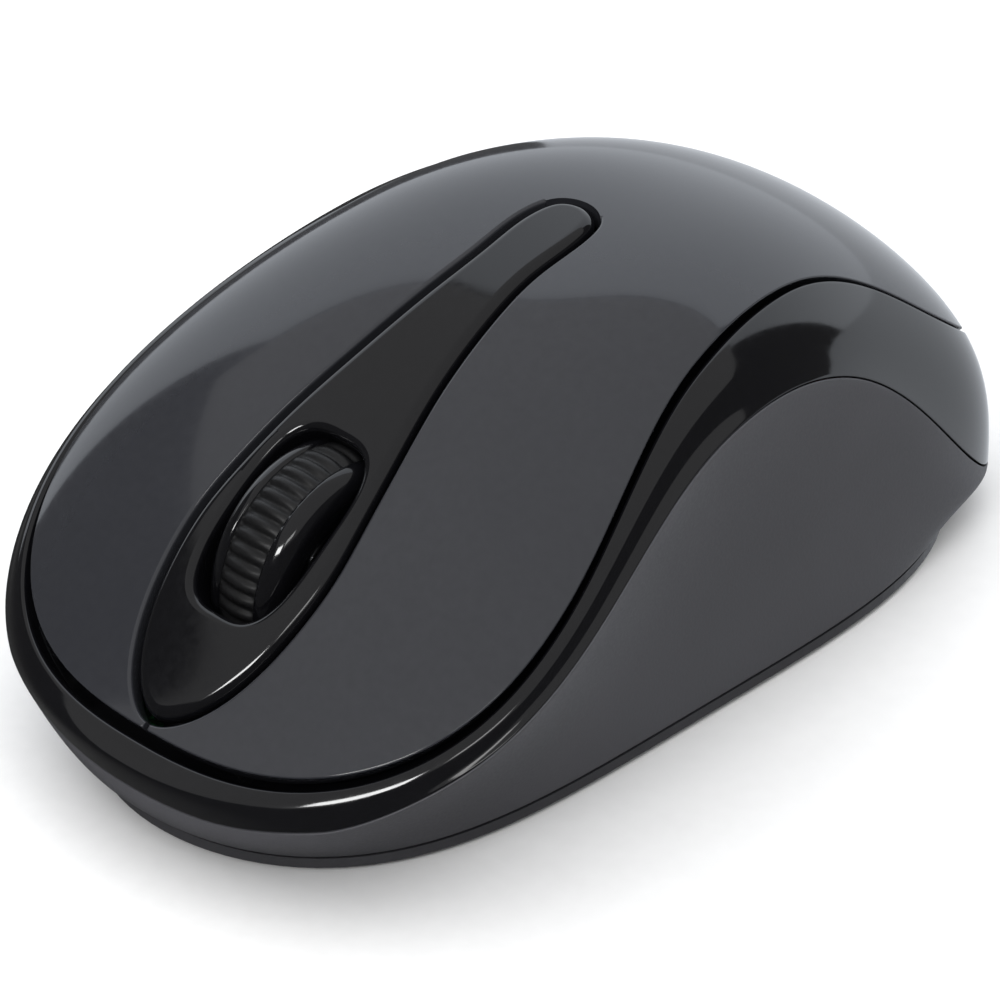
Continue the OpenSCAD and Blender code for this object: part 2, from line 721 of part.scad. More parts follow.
module light_gate(side) {
    x = side * (arm_out + 2.2);
    block(x - 1, x + 1, wheel_y - 2.2, wheel_y + 2.2, wheel_z - 7, wheel_z - 2.6);
    for (k = [-1, 1])
        block(x - 0.25, x + 0.25, wheel_y + k * 1.27 - 0.25, wheel_y + k * 1.27 + 0.25, board_top, wheel_z - 6.5);
}
module encoder_emitter() {
    color("#c8b6d8")
        light_gate(1);
}
module encoder_detector() {
    color("#141416")
        light_gate(-1);
}
module sensor_chip() {
    color("#151517")
        block(-4.9, 4.9, sensor_y - 2.6, sensor_y + 2.6, board_top, board_top + 1.9);
}
module sensor_lens() {
    color([0.8, 0.85, 0.9, 0.5])
        union() {
            block(-4.4, 4.4, sensor_y - 2.7, sensor_y + 2.7, base_top, board_z);
            block(-3.4, 3.4, sensor_y - 2.6, sensor_y + 2.6, base_bottom + 0.5, base_top + 0.1);
            translate([0, sensor_y, board_z - 0.1])
                cylinder(r = 1.3, h = 0.9, $fn = 32);
        }
}
module sensor_light() {
    color([0.95, 0.35, 0.3, 0.8])
        block(5.7, 8.1, wheel_y + 5.6, wheel_y + 7.2, board_top, board_top + 1);
}
module radio_chip() {
    color("#151517")
        block(11.9, 16.7, board_tail - 5.6, board_tail - 0.8, board_top, board_top + 0.9);
}
module crystal() {
    color("#b9babd")
        block(-16.8, -12.4, board_tail - 5.8, board_tail - 3.6, board_top, board_top + 1.3);
}
module capacitors() {
    color("#2b3b57")
        for (p = [[12.2, pivot_y - 2.6], [-13, pivot_y + 4.4]])
            translate([p[0], p[1], board_top])
                cylinder(r = 1.9, h = 5, $fn = 40);
}

// ---- battery ----
module battery_cell() {
    color("#a33a2a")
        translate([0, cell_y, cell_z])
            rotate([-90, 0, 0]) {
                cylinder(r = cell_d / 2, h = cell_len - 1.2, $fn = 72);
                cylinder(r = 2.7, h = cell_len, $fn = 48);
            }
}
module front_contact() {
    color("#c9c6bd") {
        block(-4, 4, board_rear + wall_t + 0.35, board_rear + wall_t + 0.75, base_top + 1.2, cell_z + 3.6);
        for (k = [0 : 1])
            translate([0, board_rear + wall_t + 0.95 + 0.45 * k, cell_z])
                rotate([90, 0, 0])
                    rotate_extrude($fn = 48)
                        translate([3.1 - 0.5 * k, 0])
                            circle(r = 0.25, $fn = 16);
    }
}
module rear_contact() {
    color("#c9c6bd")
        block(-4, 4, cell_end + 0.05, cell_end + 0.4, base_top + 1.2, cell_z + 3.6);
}

// ---- power switch and stowed receiver ----
module power_switch() {
    color("#1d1d20")
        difference() {
            block(knob_x - 2.6, knob_x + 2.6, knob_y - 4.2, knob_y + knob_travel + 4.2, base_top + 0.1, board_z);
            block(knob_x - 1, knob_x + 1, knob_y - 1.4, knob_y + knob_travel + 1.4, base_top - 1, board_z - 0.7);
        }
}
module power_knob() {
    color("#c9c9cc")
        union() {
            block(knob_x - 1.5, knob_x + 1.5, knob_y - 1.7, knob_y + 1.7, base_bottom + 0.15, base_top - 0.1);
            block(knob_x - 0.8, knob_x + 0.8, knob_y - 1.1, knob_y + 1.1, base_top - 0.5, board_z - 1);
        }
}
module receiver_cap() {
    color("#1b1b1e")
        block(bay_x - receiver_t / 2, bay_x + receiver_t / 2, bay_y - receiver_len / 2,
            bay_y - receiver_len / 2 + receiver_len - plug_len, base_bottom + 0.2, base_bottom + 0.2 + receiver_w);
}
module receiver_plug() {
    color("#c4c6ca")
        difference() {
            block(bay_x - 2.25, bay_x + 2.25, bay_y + receiver_len / 2 - plug_len, bay_y + receiver_len / 2,
                base_bottom + 1, base_bottom + 13);
            block(bay_x - 1.95, bay_x + 0.3, bay_y + receiver_len / 2 - 9, bay_y + receiver_len,
                base_bottom + 1.3, base_bottom + 12.7);
        }
}

base_plate();
lower_case();
side_band();
palm_cover();
left_button();
right_button();
centre_trim();
wheel_tyre();
wheel_core();
left_wheel_disc();
right_wheel_disc();
wheel_axle();
wheel_carrier();
carrier_pin();
circuit_board();
left_switch();
left_plunger();
right_switch();
right_plunger();
middle_switch();
middle_plunger();
encoder_emitter();
encoder_detector();
sensor_chip();
sensor_lens();
sensor_light();
radio_chip();
crystal();
capacitors();
battery_cell();
front_contact();
rear_contact();
battery_door();
power_switch();
power_knob();
front_feet();
rear_feet();
case_screws();
board_screws();
receiver_cap();
receiver_plug();
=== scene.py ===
import math

import bpy
import numpy as np
from bpy.props import FloatProperty, IntProperty, PointerProperty, StringProperty
from mathutils import Matrix, Vector
from mathutils.geometry import delaunay_2d_cdt


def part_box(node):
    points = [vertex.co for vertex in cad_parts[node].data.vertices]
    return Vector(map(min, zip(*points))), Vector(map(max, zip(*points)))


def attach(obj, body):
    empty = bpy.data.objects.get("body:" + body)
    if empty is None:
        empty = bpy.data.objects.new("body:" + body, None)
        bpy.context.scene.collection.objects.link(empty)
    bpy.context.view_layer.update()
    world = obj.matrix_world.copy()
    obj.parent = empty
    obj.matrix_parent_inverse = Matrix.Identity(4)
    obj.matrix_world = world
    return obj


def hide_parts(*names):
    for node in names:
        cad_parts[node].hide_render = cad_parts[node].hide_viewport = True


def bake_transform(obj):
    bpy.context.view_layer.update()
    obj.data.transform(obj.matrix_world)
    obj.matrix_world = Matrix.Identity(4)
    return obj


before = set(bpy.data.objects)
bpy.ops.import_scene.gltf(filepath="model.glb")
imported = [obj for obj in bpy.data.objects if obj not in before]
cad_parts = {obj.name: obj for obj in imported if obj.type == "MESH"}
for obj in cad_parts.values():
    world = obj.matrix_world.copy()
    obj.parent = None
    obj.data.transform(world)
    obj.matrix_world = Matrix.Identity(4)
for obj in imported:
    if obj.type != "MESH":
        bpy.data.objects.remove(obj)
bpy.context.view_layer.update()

bl_info = {
    "name": "Cordless mouse",
    "version": (1, 0, 0),
    "blender": (4, 5, 0),
    "location": "View3D > Sidebar > Mouse",
    "description": "Shells, wheel and finishes of a compact cordless mouse, round its CAD frame",
    "category": "Object",
}

MM = 0.001

# ---- the body's curves, in millimetres and degrees, as the CAD shells have them ----
# Half width and height along the body, as shares, at stations from nose -1 to tail 1
WIDTH_SHARE = [(-1, 0.9), (-0.55, 1), (-0.1, 0.93), (0.35, 0.81), (0.7, 0.855), (1, 1.15)]
CROWN_SHARE = [(-1, 0.255), (-0.55, 0.697), (-0.1, 0.97), (0.35, 1), (0.7, 0.847), (1, 0.6)]
# The two seams as levels on the skin, by angle from the nose
COVER_SEAM = [(0, 0.62), (20, 0.655), (45, 0.56), (65, 0.385), (90, 0.305), (110, 0.318),
              (135, 0.405), (155, 0.58), (180, 0.7)]
CASE_SEAM = [(0, 1.38), (13, 1.33), (21, 1.15), (27, 0.99), (33, 0.85), (45, 0.69), (65, 0.5),
             (90, 0.443), (105, 0.49), (125, 0.666), (138, 0.86), (147, 0.96), (180, 0.97)]
# How far the case's wall bows in at its grips or out at its ends, by angle from the nose
CASE_BOW = [(0, -0.8), (30, -0.4), (65, 0.9), (90, 1.3), (115, 0.4), (140, -1), (160, -1),
            (180, -0.6)]
# Right half of the centre trim's outline, from its nose tip to its tail tip
TRIM_LINE = [(0, -45.1), (2.4, -44.3), (4.6, -42.35), (6.4, -39.3), (7.5, -35.2), (7.7, -31.7),
             (7.2, -28.1), (6.2, -23), (4.8, -16.9), (3.5, -8.8), (3, -2.7), (2.9, 3.6),
             (2.05, 5.65), (0, 6.5)]
# Relief of the band across its width, from the cover seam 0 to the case seam 1
BAND_RELIEF = [(0, -0.2), (0.2, 0.02), (0.38, 0.1), (0.62, -0.12), (0.8, -0.2), (1, 0)]
# How strong that relief is, by angle from the nose
RELIEF_SHARE = [(0, 0.25), (35, 0.3), (60, 0.8), (90, 0.8), (115, 0.3), (140, 0), (180, 0)]
# Powers of the dome's ends and shoulder and of the base's outline
NOSE_POWER = 4.5
TAIL_POWER = 2.05
SHOULDER_IN = 1.5
SHOULDER_OUT = 3.1
BASE_POWER = 4
# Where the skin tucks under below the nose: its last level above 1, its power and its pull inward
TUCK_SPAN = 0.36
TUCK_POWER = 1.5
TUCK_IN = 0.02

# ---- details that only the looks have, in millimetres ----
# Edge rounds
HOLE_ROLL = 0.35
RIM_ROLL = 0.15
SLIT_ROLL = 0.2
TRIM_ROLL = 1.1
OPENING_ROLL = 0.8
BAND_ROLL = 0.4
SEAM_ROLL = 0.12
CASE_FOOT_ROLL = 0.3
# Mesh of the cover and trim: point spacing, steps over a round, rings of points past it as shares
# of its radius, the share up to which a ring keeps every point, and the least gaps between points
COVER_MESH = 0.9
TRIM_MESH = 0.7
ROLL_STEPS = 7
SEAM_STEPS = 5
PAST_ROLL = (1.5, 2.2)
DENSE_TO = 1.6
RING_GAP = 0.97
RING_SLACK = 0.003
FIELD_GAP = 0.35
EDGE_HIT = 1e-4
# Trim: points down half its outline, thickness, depth and reach of the skirt round its wheel
# opening, and that opening's place ahead of the wheel and the power of its oval
TRIM_POINTS = 400
TRIM_T = 1.2
SKIRT = 2.6
SKIRT_REACH = 1.6
OPENING_AHEAD = 5.2
OVAL_POWER = 3.2
# Points round the body, and rows down the band, the case and the case's inner face
RING = 480
BAND_ROWS = 40
CASE_ROWS = 36
INNER_ROWS = 10
# How soon the inner face turns level below the seam, and the level step for surface normals
INNER_TURN = 2.5
NORMAL_STEP = 0.004
# Stop ledge of the band under the cover's edge, clear of the buttons' stroke
LEDGE_TOP = 2.9
LEDGE_LOW = 3.5
LEDGE_W = 1.6
LEDGE_FOOT = 1.4
LEDGE_ROWS = 8
LEDGE_STEP = 0.15
# Tyre and discs
TYRE_ROWS = 21
TYRE_CROWN = 0.5
TYRE_SHOULDER = 0.15
RIB_DEPTH = 0.34
DISC_STEP = 0.3
DISC_SHOULDER = 1.8
DISC_EYE = 6.2
DISC_FIT = 0.02
DISC_FLANK = 0.3
# Case screws: head and shank radius, the head's seat above its face, and the cross recess
SCREW_HEAD_R = 2.1
SCREW_SHANK_R = 1.1
SCREW_SEAT = 0.8
CROSS_DEPTH = 0.55
CROSS_REACH = 1.25
CROSS_SLOPE = 0.15
CROSS_THIN = 3.4

# ---- stage, in metres and degrees ----
FLOOR_HALF = 3.0
CAMERA_AZIMUTH = 43.9
CAMERA_ELEVATION = 33.4
CAMERA_ROLL = 0.54
CAMERA_DISTANCE = 0.694
CAMERA_AIM = (0.0009, -0.00445, 0.0153)
CAMERA_LENS = 290
WHITE = (1.0, 1.0, 1.0)
SWEEP_COLOUR = (0.88, 0.93, 1.0)
WORLD_STRENGTH = 0.08
# Soft boxes by middle, size and radiance in watts per square metre and steradian, along two level
# axes: away from the camera, and across. The sweep stands behind the mouse, and its top edge draws
# the line across the cover; its foot stands in for its own bright floor; the ceiling is the dim
# panel that the front half mirrors.
SWEEP_AZIMUTH = 125
SWEEP = {"across": -0.28, "away": 1.2, "up": 0.98, "width": 3.35, "height": 1.96, "radiance": 1.03}
SWEEP_FOOT = {"across": 1.54, "away": 1.2, "up": -0.8, "width": 3.5, "height": 1.6,
              "radiance": 0.75}
CEILING = {"across": 0.55, "away": -1.3, "up": 2.0, "width": 5.9, "height": 5.0, "radiance": 0.42}
# Broad light overhead that the gloss doesn't mirror
OVERHEAD = {"across": 0, "away": 0, "up": 1.95, "width": 4.0, "height": 4.0, "radiance": 1.3}
# Narrow lights in front, which draw the streaks along band and trim
STREAK_DISTANCE = 1.2
STREAKS = [{"azimuth": -75, "elevation": 33, "width": 0.48, "height": 0.15, "radiance": 20},
           {"azimuth": -40, "elevation": 35, "width": 0.4, "height": 0.12, "radiance": 5}]


def smooth(stations, at, ends=None, flat=False):
    """Cubic spline of even curvature through given stations, as the CAD shells use."""
    xs, ys = np.array(stations, float).T
    step = np.diff(xs)
    chord = np.diff(ys) / step
    n = len(xs)
    if ends is None:
        inner = (ys[2:] - ys[:-2]) / (xs[2:] - xs[:-2])
        ends = (0, 0) if flat else 1.5 * chord[[0, -1]] - 0.5 * inner[[0, -1]]
    rows = np.eye(n)
    right = np.empty(n)
    right[0], right[-1] = ends
    for k in range(1, n - 1):
        rows[k, k - 1:k + 2] = 1 / step[k - 1], 2 / step[k - 1] + 2 / step[k], 1 / step[k]
        right[k] = 3 * (chord[k - 1] / step[k - 1] + chord[k] / step[k])
    slope = np.linalg.solve(rows, right)
    x = np.clip(at, xs[0], xs[-1])
    i = np.clip(np.searchsorted(xs, x, side="right") - 1, 0, n - 2)
    h = step[i]
    u = (x - xs[i]) / h
    return (ys[i] * (1 + 2 * u) * (1 - u) ** 2 + h * slope[i] * u * (1 - u) ** 2
            + ys[i + 1] * u * u * (3 - 2 * u) + h * slope[i + 1] * u * u * (u - 1))


def lerp(a, b, u):
    return a + (b - a) * u


def unit(v):
    return v / np.maximum(np.linalg.norm(v, axis=-1, keepdims=True), 1e-12)


def fold(th):
    th = np.mod(th, 360)
    return np.where(th > 180, 360 - th, th)


class Skin:
    """Outer surface of the body, in millimetres."""

    def __init__(self, sizes):
        self.half_len = sizes.body_len / MM / 2
        self.half_w = sizes.body_w / MM / 2
        self.top = sizes.body_h / MM
        self.base_half_w = sizes.base_w / MM / 2
        self.nose_in = sizes.base_inset_front / MM
        self.tail_in = sizes.base_inset_rear / MM
        self.water_nose = sizes.waterline_front / MM
        self.water_tail = sizes.waterline_rear / MM
        self.edge_z = sizes.case_edge / MM
        self.seam_nose = sizes.seam_front / MM
        self.seam_tail = sizes.seam_rear / MM

    def end_rise(self, t):
        return np.abs(t) ** np.where(t < 0, NOSE_POWER, TAIL_POWER)

    def waterline(self, t):
        return lerp(self.water_nose, self.water_tail, (t + 1) / 2)

    def dome(self, x, y):
        t = y / self.half_len
        half = smooth(WIDTH_SHARE, t) * self.half_w
        f = np.minimum(1, (x / half) ** 2 + self.end_rise(t))
        water = self.waterline(t)
        rise = smooth(CROWN_SHARE, t) * self.top - water
        return water + rise * (1 - f ** SHOULDER_IN) ** (1 / SHOULDER_OUT)

    def on_dome(self, xy):
        return np.stack([xy[..., 0], xy[..., 1], self.dome(xy[..., 0], xy[..., 1])], -1)

    def dome_normal(self, xy):
        x, y = xy[..., 0], xy[..., 1]
        d = 0.01
        gx = (self.dome(x + d, y) - self.dome(x - d, y)) / (2 * d)
        gy = (self.dome(x, y + d) - self.dome(x, y - d)) / (2 * d)
        return unit(np.stack([-gx, -gy, np.ones_like(gx)], -1))

    def rim(self, th):
        t = -np.cos(np.radians(th))
        x = smooth(WIDTH_SHARE, t) * self.half_w * np.sqrt(np.maximum(0, 1 - self.end_rise(t)))
        return x * np.sign(np.sin(np.radians(th))), t * self.half_len

    def over(self, th, w):
        """Point of the dome at angle th and level w; past 1 it tucks under at the nose."""
        rim_x, rim_y = self.rim(th)
        share = 1 - (1 - np.minimum(w, 1)) ** SHOULDER_OUT
        x, y = rim_x * share, rim_y * share
        under = np.maximum(0, w - 1)
        tuck = (under / TUCK_SPAN) ** TUCK_POWER
        z = np.where(under > 0, lerp(self.waterline(y / self.half_len), self.edge_z, under),
                     self.dome(x, y))
        return np.stack([x * (1 - TUCK_IN * tuck), y + tuck * np.cos(np.radians(th)), z], -1)

    def base(self, th):
        t = -np.cos(np.radians(th))
        reach = self.half_len - (self.nose_in + self.tail_in) / 2
        x = self.base_half_w * np.sqrt(np.maximum(0, 1 - np.abs(t) ** BASE_POWER))
        return np.stack([x * np.sign(np.sin(np.radians(th))),
                         (self.nose_in - self.tail_in) / 2 + t * reach], -1)

    def wall(self, th, v):
        """Point on the lower case's wall, from the band seam at v 0 to the base edge at v 1."""
        top = self.over(th, smooth(CASE_SEAM, fold(th), flat=True))
        low = self.base(th)
        bow = smooth(CASE_BOW, fold(th), flat=True) * np.sin(np.pi * v)
        out = unit(low * [1, 0.5])
        xy = lerp(top[..., :2], low, v[..., None]) - bow[..., None] * out
        return np.concatenate([xy, lerp(top[..., 2:], self.edge_z, v[..., None])], -1)

    def seam_gap(self, th):
        return lerp(self.seam_nose, self.seam_tail, (1 - np.cos(np.radians(fold(th)))) / 2)

    def level_step(self, th, w, mm):
        """Change of level that moves a point of the dome by a length."""
        span = np.linalg.norm(self.over(th, w + 0.01) - self.over(th, w - 0.01), axis=-1)
        return mm * 0.02 / span


# ---- meshes ----
def new_object(name, points, faces, normals=None):
    """A smooth mesh object from points in millimetres, with normals per face corner if given."""
    mesh = bpy.data.meshes.new(name)
    mesh.from_pydata((np.asarray(points) * MM).tolist(), [], [list(map(int, f)) for f in faces])
    mesh.polygons.foreach_set("use_smooth", [True] * len(mesh.polygons))
    mesh.validate()
    if normals is not None:
        mesh.normals_split_custom_set(np.asarray(normals).tolist())
    obj = bpy.data.objects.new(name, mesh)
    bpy.context.collection.objects.link(obj)
    return obj


def torus_faces(rows, cols):
    """Quads of a grid of rows that closes on itself both ways."""
    faces = []
    for j in range(rows):
        for i in range(cols):
            a, b = j * cols + i, j * cols + (i + 1) % cols
            c, d = ((j + 1) % rows) * cols + (i + 1) % cols, ((j + 1) % rows) * cols + i
            faces.append((a, b, c, d))
    return faces


def signed_volume(points, faces):
    p = np.asarray(points)
    total = 0.0
    for f in faces:
        for k in range(1, len(f) - 1):
            total += np.dot(p[f[0]], np.cross(p[f[k]], p[f[k + 1]]))
    return total / 6


def closed_ring(name, grid):
    """A closed solid from the profile rows of a ring, turned outward."""
    rows, cols = grid.shape[:2]
    points = grid.reshape(-1, 3)
    faces = torus_faces(rows, cols)
    if signed_volume(points, faces) < 0:
        faces = [f[::-1] for f in faces]
    return new_object(name, points, faces)


def roll_steps(radius, steps):
    """Distances from an edge and depths below the surface that round it, from the edge inward."""
    turn = np.radians(np.linspace(90, 0, steps))
    return radius * (1 - np.sin(turn)), radius * (1 - np.cos(turn))


def lathe_x(name, profile, centre, turns, wave=None):
    """A closed solid turned about the X axis from a closed profile of (x, radius) points."""
    turn = np.linspace(0, 2 * np.pi, turns, endpoint=False)
    grid = []
    for k, (x, radius) in enumerate(profile):
        r = radius - (0 if wave is None else wave(k, x, turn))
        grid.append(np.stack([np.full(turns, x + centre[0]), centre[1] + r * np.cos(turn),
                              centre[2] + r * np.sin(turn)], -1))
    return closed_ring(name, np.array(grid))


def spline_line(stations, count, ends):
    """Points spaced evenly along a smooth curve through given points."""
    pts = np.array(stations, float)
    chord = np.concatenate([[0], np.cumsum(np.linalg.norm(np.diff(pts, axis=0), axis=1))])
    fine = np.linspace(0, chord[-1], 4 * count)
    line = np.stack([smooth(np.stack([chord, pts[:, k]], -1), fine, ends=(ends[0][k], ends[1][k]))
                     for k in range(2)], -1)
    run = np.concatenate([[0], np.cumsum(np.linalg.norm(np.diff(line, axis=0), axis=1))])
    even = np.linspace(0, run[-1], count)
    return np.stack([np.interp(even, run, line[:, k]) for k in range(2)], -1)


def inside(loop, pts):
    """True for each point that lies inside a closed outline."""
    x, y = pts[:, 0][:, None], pts[:, 1][:, None]
    ax, ay = loop[:, 0][None], loop[:, 1][None]
    bx, by = np.roll(loop[:, 0], -1)[None], np.roll(loop[:, 1], -1)[None]
    rise = np.where(by == ay, 1e-9, by - ay)
    crosses = ((ay > y) != (by > y)) & (x < (bx - ax) * (y - ay) / rise + ax)
    return crosses.sum(1) % 2 == 1


def nearest(edge, pts):
    """Distance from each point to a polyline, and the unit direction toward it."""
    a, b = edge[:-1], edge[1:]
    ab = b - a
    best = np.full(len(pts), 1e9)
    foot = np.zeros_like(pts)
    for k in range(0, len(a), 64):
        s = slice(k, k + 64)
        u = np.clip(((pts[:, None] - a[s]) * ab[s]).sum(-1) / (ab[s] ** 2).sum(-1), 0, 1)
        q = a[s] + u[..., None] * ab[s]
        d = np.linalg.norm(pts[:, None] - q, axis=-1)
        i = d.argmin(1)
        row = np.arange(len(pts))
        better = d[row, i] < best
        best[better] = d[row, i][better]
        foot[better] = q[row, i][better]
    return best, unit(foot - pts)


def nearest_loop(loops, pts):
    """Distance from each point to the nearest of some closed outlines."""
    return np.min([nearest(np.vstack([loop, loop[:1]]), pts)[0] for loop in loops], axis=0)


def plate(name, skin, loops, rolled, spacing, thick, lift=0.0, skirt=None):
    """A closed panel of the dome inside the first loop and outside the others.

    rolled lists (edge polyline, roll radius): those edges are rounded over. skirt(distances) gives
    the depth of the panel's underside where it isn't even. All are in millimetres.
    """
    edges3 = [(skin.on_dome(line), radius) for line, radius in rolled]
    pts = []
    for (line, radius), (line3, _) in zip(rolled, edges3):
        run = np.gradient(line3, axis=0)
        side = unit(np.cross(skin.dome_normal(line), run))
        steps, _ = roll_steps(radius, ROLL_STEPS)
        for s in [*steps[1:], *(radius * share for share in PAST_ROLL)]:
            for sign in (1, -1):
                cand = (line3 + sign * side * s)[:, :2]
                cand = cand[::1 if s < radius * DENSE_TO else 2]
                keep = np.ones(len(cand), bool)
                where = skin.on_dome(cand)
                for other, _ in edges3:
                    keep &= nearest(other, where)[0] > s * RING_GAP - RING_SLACK
                pts.append(cand[keep])
    lo, hi = loops[0].min(0), loops[0].max(0)
    gx, gy = np.meshgrid(np.arange(lo[0], hi[0], spacing), np.arange(lo[1], hi[1], spacing * 0.866))
    gx = gx + (np.arange(gx.shape[0]) % 2)[:, None] * spacing / 2
    field = np.stack([gx.ravel(), gy.ravel()], -1)
    apart = np.min([nearest(line3, skin.on_dome(field))[0] - radius * PAST_ROLL[-1]
                    for line3, radius in edges3], axis=0)
    gap = np.minimum(apart, nearest_loop(loops, field))
    pts.append(field[gap > spacing * FIELD_GAP])
    ring = np.concatenate(loops)
    cloud = np.concatenate(pts)
    cloud = cloud[inside(loops[0], cloud)]
    for hole in loops[1:]:
        cloud = cloud[~inside(hole, cloud)]
    cloud = cloud[nearest_loop(loops, cloud) > 1e-3]
    every = np.concatenate([ring, cloud])
    ties, start = [], 0
    for loop in loops:
        n = len(loop)
        ties += [(start + k, start + (k + 1) % n) for k in range(n)]
        start += n
    out = delaunay_2d_cdt([Vector(p) for p in every.tolist()], ties, [], 0, 1e-7)
    xy = np.array([tuple(v) for v in out[0]])
    tris = np.array(out[2])
    mid = xy[tris].mean(1)
    keep = inside(loops[0], mid)
    for hole in loops[1:]:
        keep &= ~inside(hole, mid)
    tris = tris[keep]
    used = np.unique(tris)
    index = np.full(len(xy), -1)
    index[used] = np.arange(len(used))
    xy, tris = xy[used], index[tris]
    one, two = xy[tris[:, 1]] - xy[tris[:, 0]], xy[tris[:, 2]] - xy[tris[:, 0]]
    turned = one[:, 0] * two[:, 1] < one[:, 1] * two[:, 0]
    tris[turned] = tris[turned][:, ::-1]

    place = skin.on_dome(xy)
    up = skin.dome_normal(xy)
    edges = {(a, b) for t in tris.tolist() for a, b in ((t[0], t[1]), (t[1], t[2]), (t[2], t[0]))}
    rims = sorted((a, b) for a, b in edges if (b, a) not in edges)
    out_at = np.zeros_like(up)
    for a, b in rims:
        side = unit(np.cross(place[b] - place[a], up[a] + up[b]))
        out_at[a] += side
        out_at[b] += side
    out_at = unit(out_at)

    dists = [nearest(line3, place) for line3, _ in edges3]
    depth = np.zeros(len(xy))
    lean = up.copy()
    for (dist, toward), (_, radius) in zip(dists, rolled):
        short = np.clip((radius - dist) / radius, 0, 1)
        fall = radius * (1 - np.sqrt(1 - short ** 2))
        at_edge = dist < EDGE_HIT
        toward[at_edge] = out_at[at_edge]
        toward = unit(toward - up * (toward * up).sum(-1, keepdims=True))
        deeper = fall > depth
        depth = np.where(deeper, fall, depth)
        tilt = up * np.sqrt(1 - short ** 2)[:, None] + toward * short[:, None]
        lean = np.where(deeper[:, None], unit(tilt), lean)
    distances = [d for d, _ in dists]
    below = np.full(len(xy), thick) if skirt is None else skirt(distances)
    top = place + up * (lift - depth)[:, None]
    low = place - up * below[:, None]
    n = len(xy)
    faces, normals = [], []
    for t in tris:
        faces.append(tuple(t))
        normals += [lean[k] for k in t]
    for t in tris[:, ::-1]:
        faces.append(tuple(t + n))
        normals += [-up[k] for k in t]
    for a, b in rims:
        faces.append((b, a, a + n, b + n))
        normals += [out_at[b], out_at[a], out_at[a], out_at[b]]
    return new_object(name, np.concatenate([top, low]), faces, normals)


# ---- materials ----
def srgb(text):
    """Linear colour of an sRGB hex value."""
    parts = [int(text[k:k + 2], 16) / 255 for k in (1, 3, 5)]
    return tuple(c / 12.92 if c <= 0.04045 else ((c + 0.055) / 1.055) ** 2.4 for c in parts)


def add_node(tree, kind, inputs=(), **settings):
    """Adds one shader node with its settings; inputs are (socket, value or output to link)."""
    node = tree.nodes.new(kind)
    for key, value in settings.items():
        setattr(node, key, value)
    for socket, value in inputs:
        if isinstance(value, bpy.types.NodeSocket):
            tree.links.new(value, node.inputs[socket])
        else:
            node.inputs[socket].default_value = value
    return node


def surface(name, dark, light, patch, rough, grain, relief, settings=()):
    """A procedural surface whose colour, gloss and relief vary at real sizes, in millimetres.

    dark and light are sRGB hex shades, patch is the size of the slow colour drift, rough is the
    (least, most) roughness, grain is the size of the fine texture and relief its height.
    """
    material = bpy.data.materials.new(name)
    material.use_nodes = True
    tree = material.node_tree
    tree.nodes.clear()
    place = add_node(tree, "ShaderNodeTexCoord").outputs["Object"]
    drift = add_node(tree, "ShaderNodeTexNoise", [
        ("Vector", place), ("Scale", 1 / (patch * MM)), ("Detail", 3.0), ("Roughness", 0.5)])
    fine = add_node(tree, "ShaderNodeTexNoise", [
        ("Vector", place), ("Scale", 1 / (grain * MM)), ("Detail", 2.0), ("Roughness", 0.6)])
    both = add_node(tree, "ShaderNodeMath", [(0, drift.outputs["Fac"]), (1, fine.outputs["Fac"])],
                    operation="MULTIPLY")
    colour = add_node(tree, "ShaderNodeMix", [
        ("Factor", both.outputs["Value"]), ("A", (*srgb(dark), 1)), ("B", (*srgb(light), 1))],
        data_type="RGBA")
    gloss = add_node(tree, "ShaderNodeMapRange", [
        ("Value", fine.outputs["Fac"]), ("From Min", 0.3), ("From Max", 0.7),
        ("To Min", rough[0]), ("To Max", rough[1])])
    bump = add_node(tree, "ShaderNodeBump", [
        ("Height", fine.outputs["Fac"]), ("Strength", 1.0), ("Distance", relief * MM)])
    shader = add_node(tree, "ShaderNodeBsdfPrincipled", [
        ("Base Color", colour.outputs["Result"]), ("Roughness", gloss.outputs["Result"]),
        ("Normal", bump.outputs["Normal"]), *settings])
    add_node(tree, "ShaderNodeOutputMaterial", [("Surface", shader.outputs["BSDF"])])
    return material


def lacquered_abs(colours):
    # Moulded ABS under a clear lacquer: deep slate colour, crisp reflections, faint orange peel
    return surface("lacquered_abs", colours.cover_dark, colours.cover_light, 22,
                   (0.09, 0.13), 0.9, 0.0004,
                   [("IOR", 1.5), ("Coat Weight", 0.25), ("Coat Roughness", 0.04)])


def piano_black_abs(colours):
    # Mirror-polished tool, black ABS: nearly black, sharp highlights
    return surface("piano_black_abs", colours.black_dark, colours.black_light, 18, (0.06, 0.1),
                   0.8, 0.0003, [("IOR", 1.53)])


def spark_eroded_abs(colours):
    # Spark-eroded tool, dark grey ABS: an even matt grain of 0.1 mm, drawn three times coarser
    return surface("spark_eroded_abs", colours.case_dark, colours.case_light, 16,
                   (0.46, 0.58), 0.3, 0.012, [("IOR", 1.5)])


def moulded_rubber(colours):
    # Moulded silicone rubber of the tyre: black, soft sheen on its ribs
    return surface("moulded_rubber", colours.rubber_dark, colours.rubber_light, 6, (0.4, 0.55),
                   0.25, 0.006, [("IOR", 1.45)])


def textured_base_abs(colours):
    # Dark grey ABS base with a light spark-eroded grain
    return surface("textured_base_abs", colours.base_dark, colours.base_light, 14, (0.4, 0.5),
                   0.35, 0.01, [("IOR", 1.5)])


def skived_ptfe():
    # Skived PTFE glide feet: waxy, slightly cloudy, dark grey
    return surface("skived_ptfe", "#151517", "#2a2a2d", 3, (0.28, 0.4), 0.5, 0.002,
                   [("IOR", 1.38)])


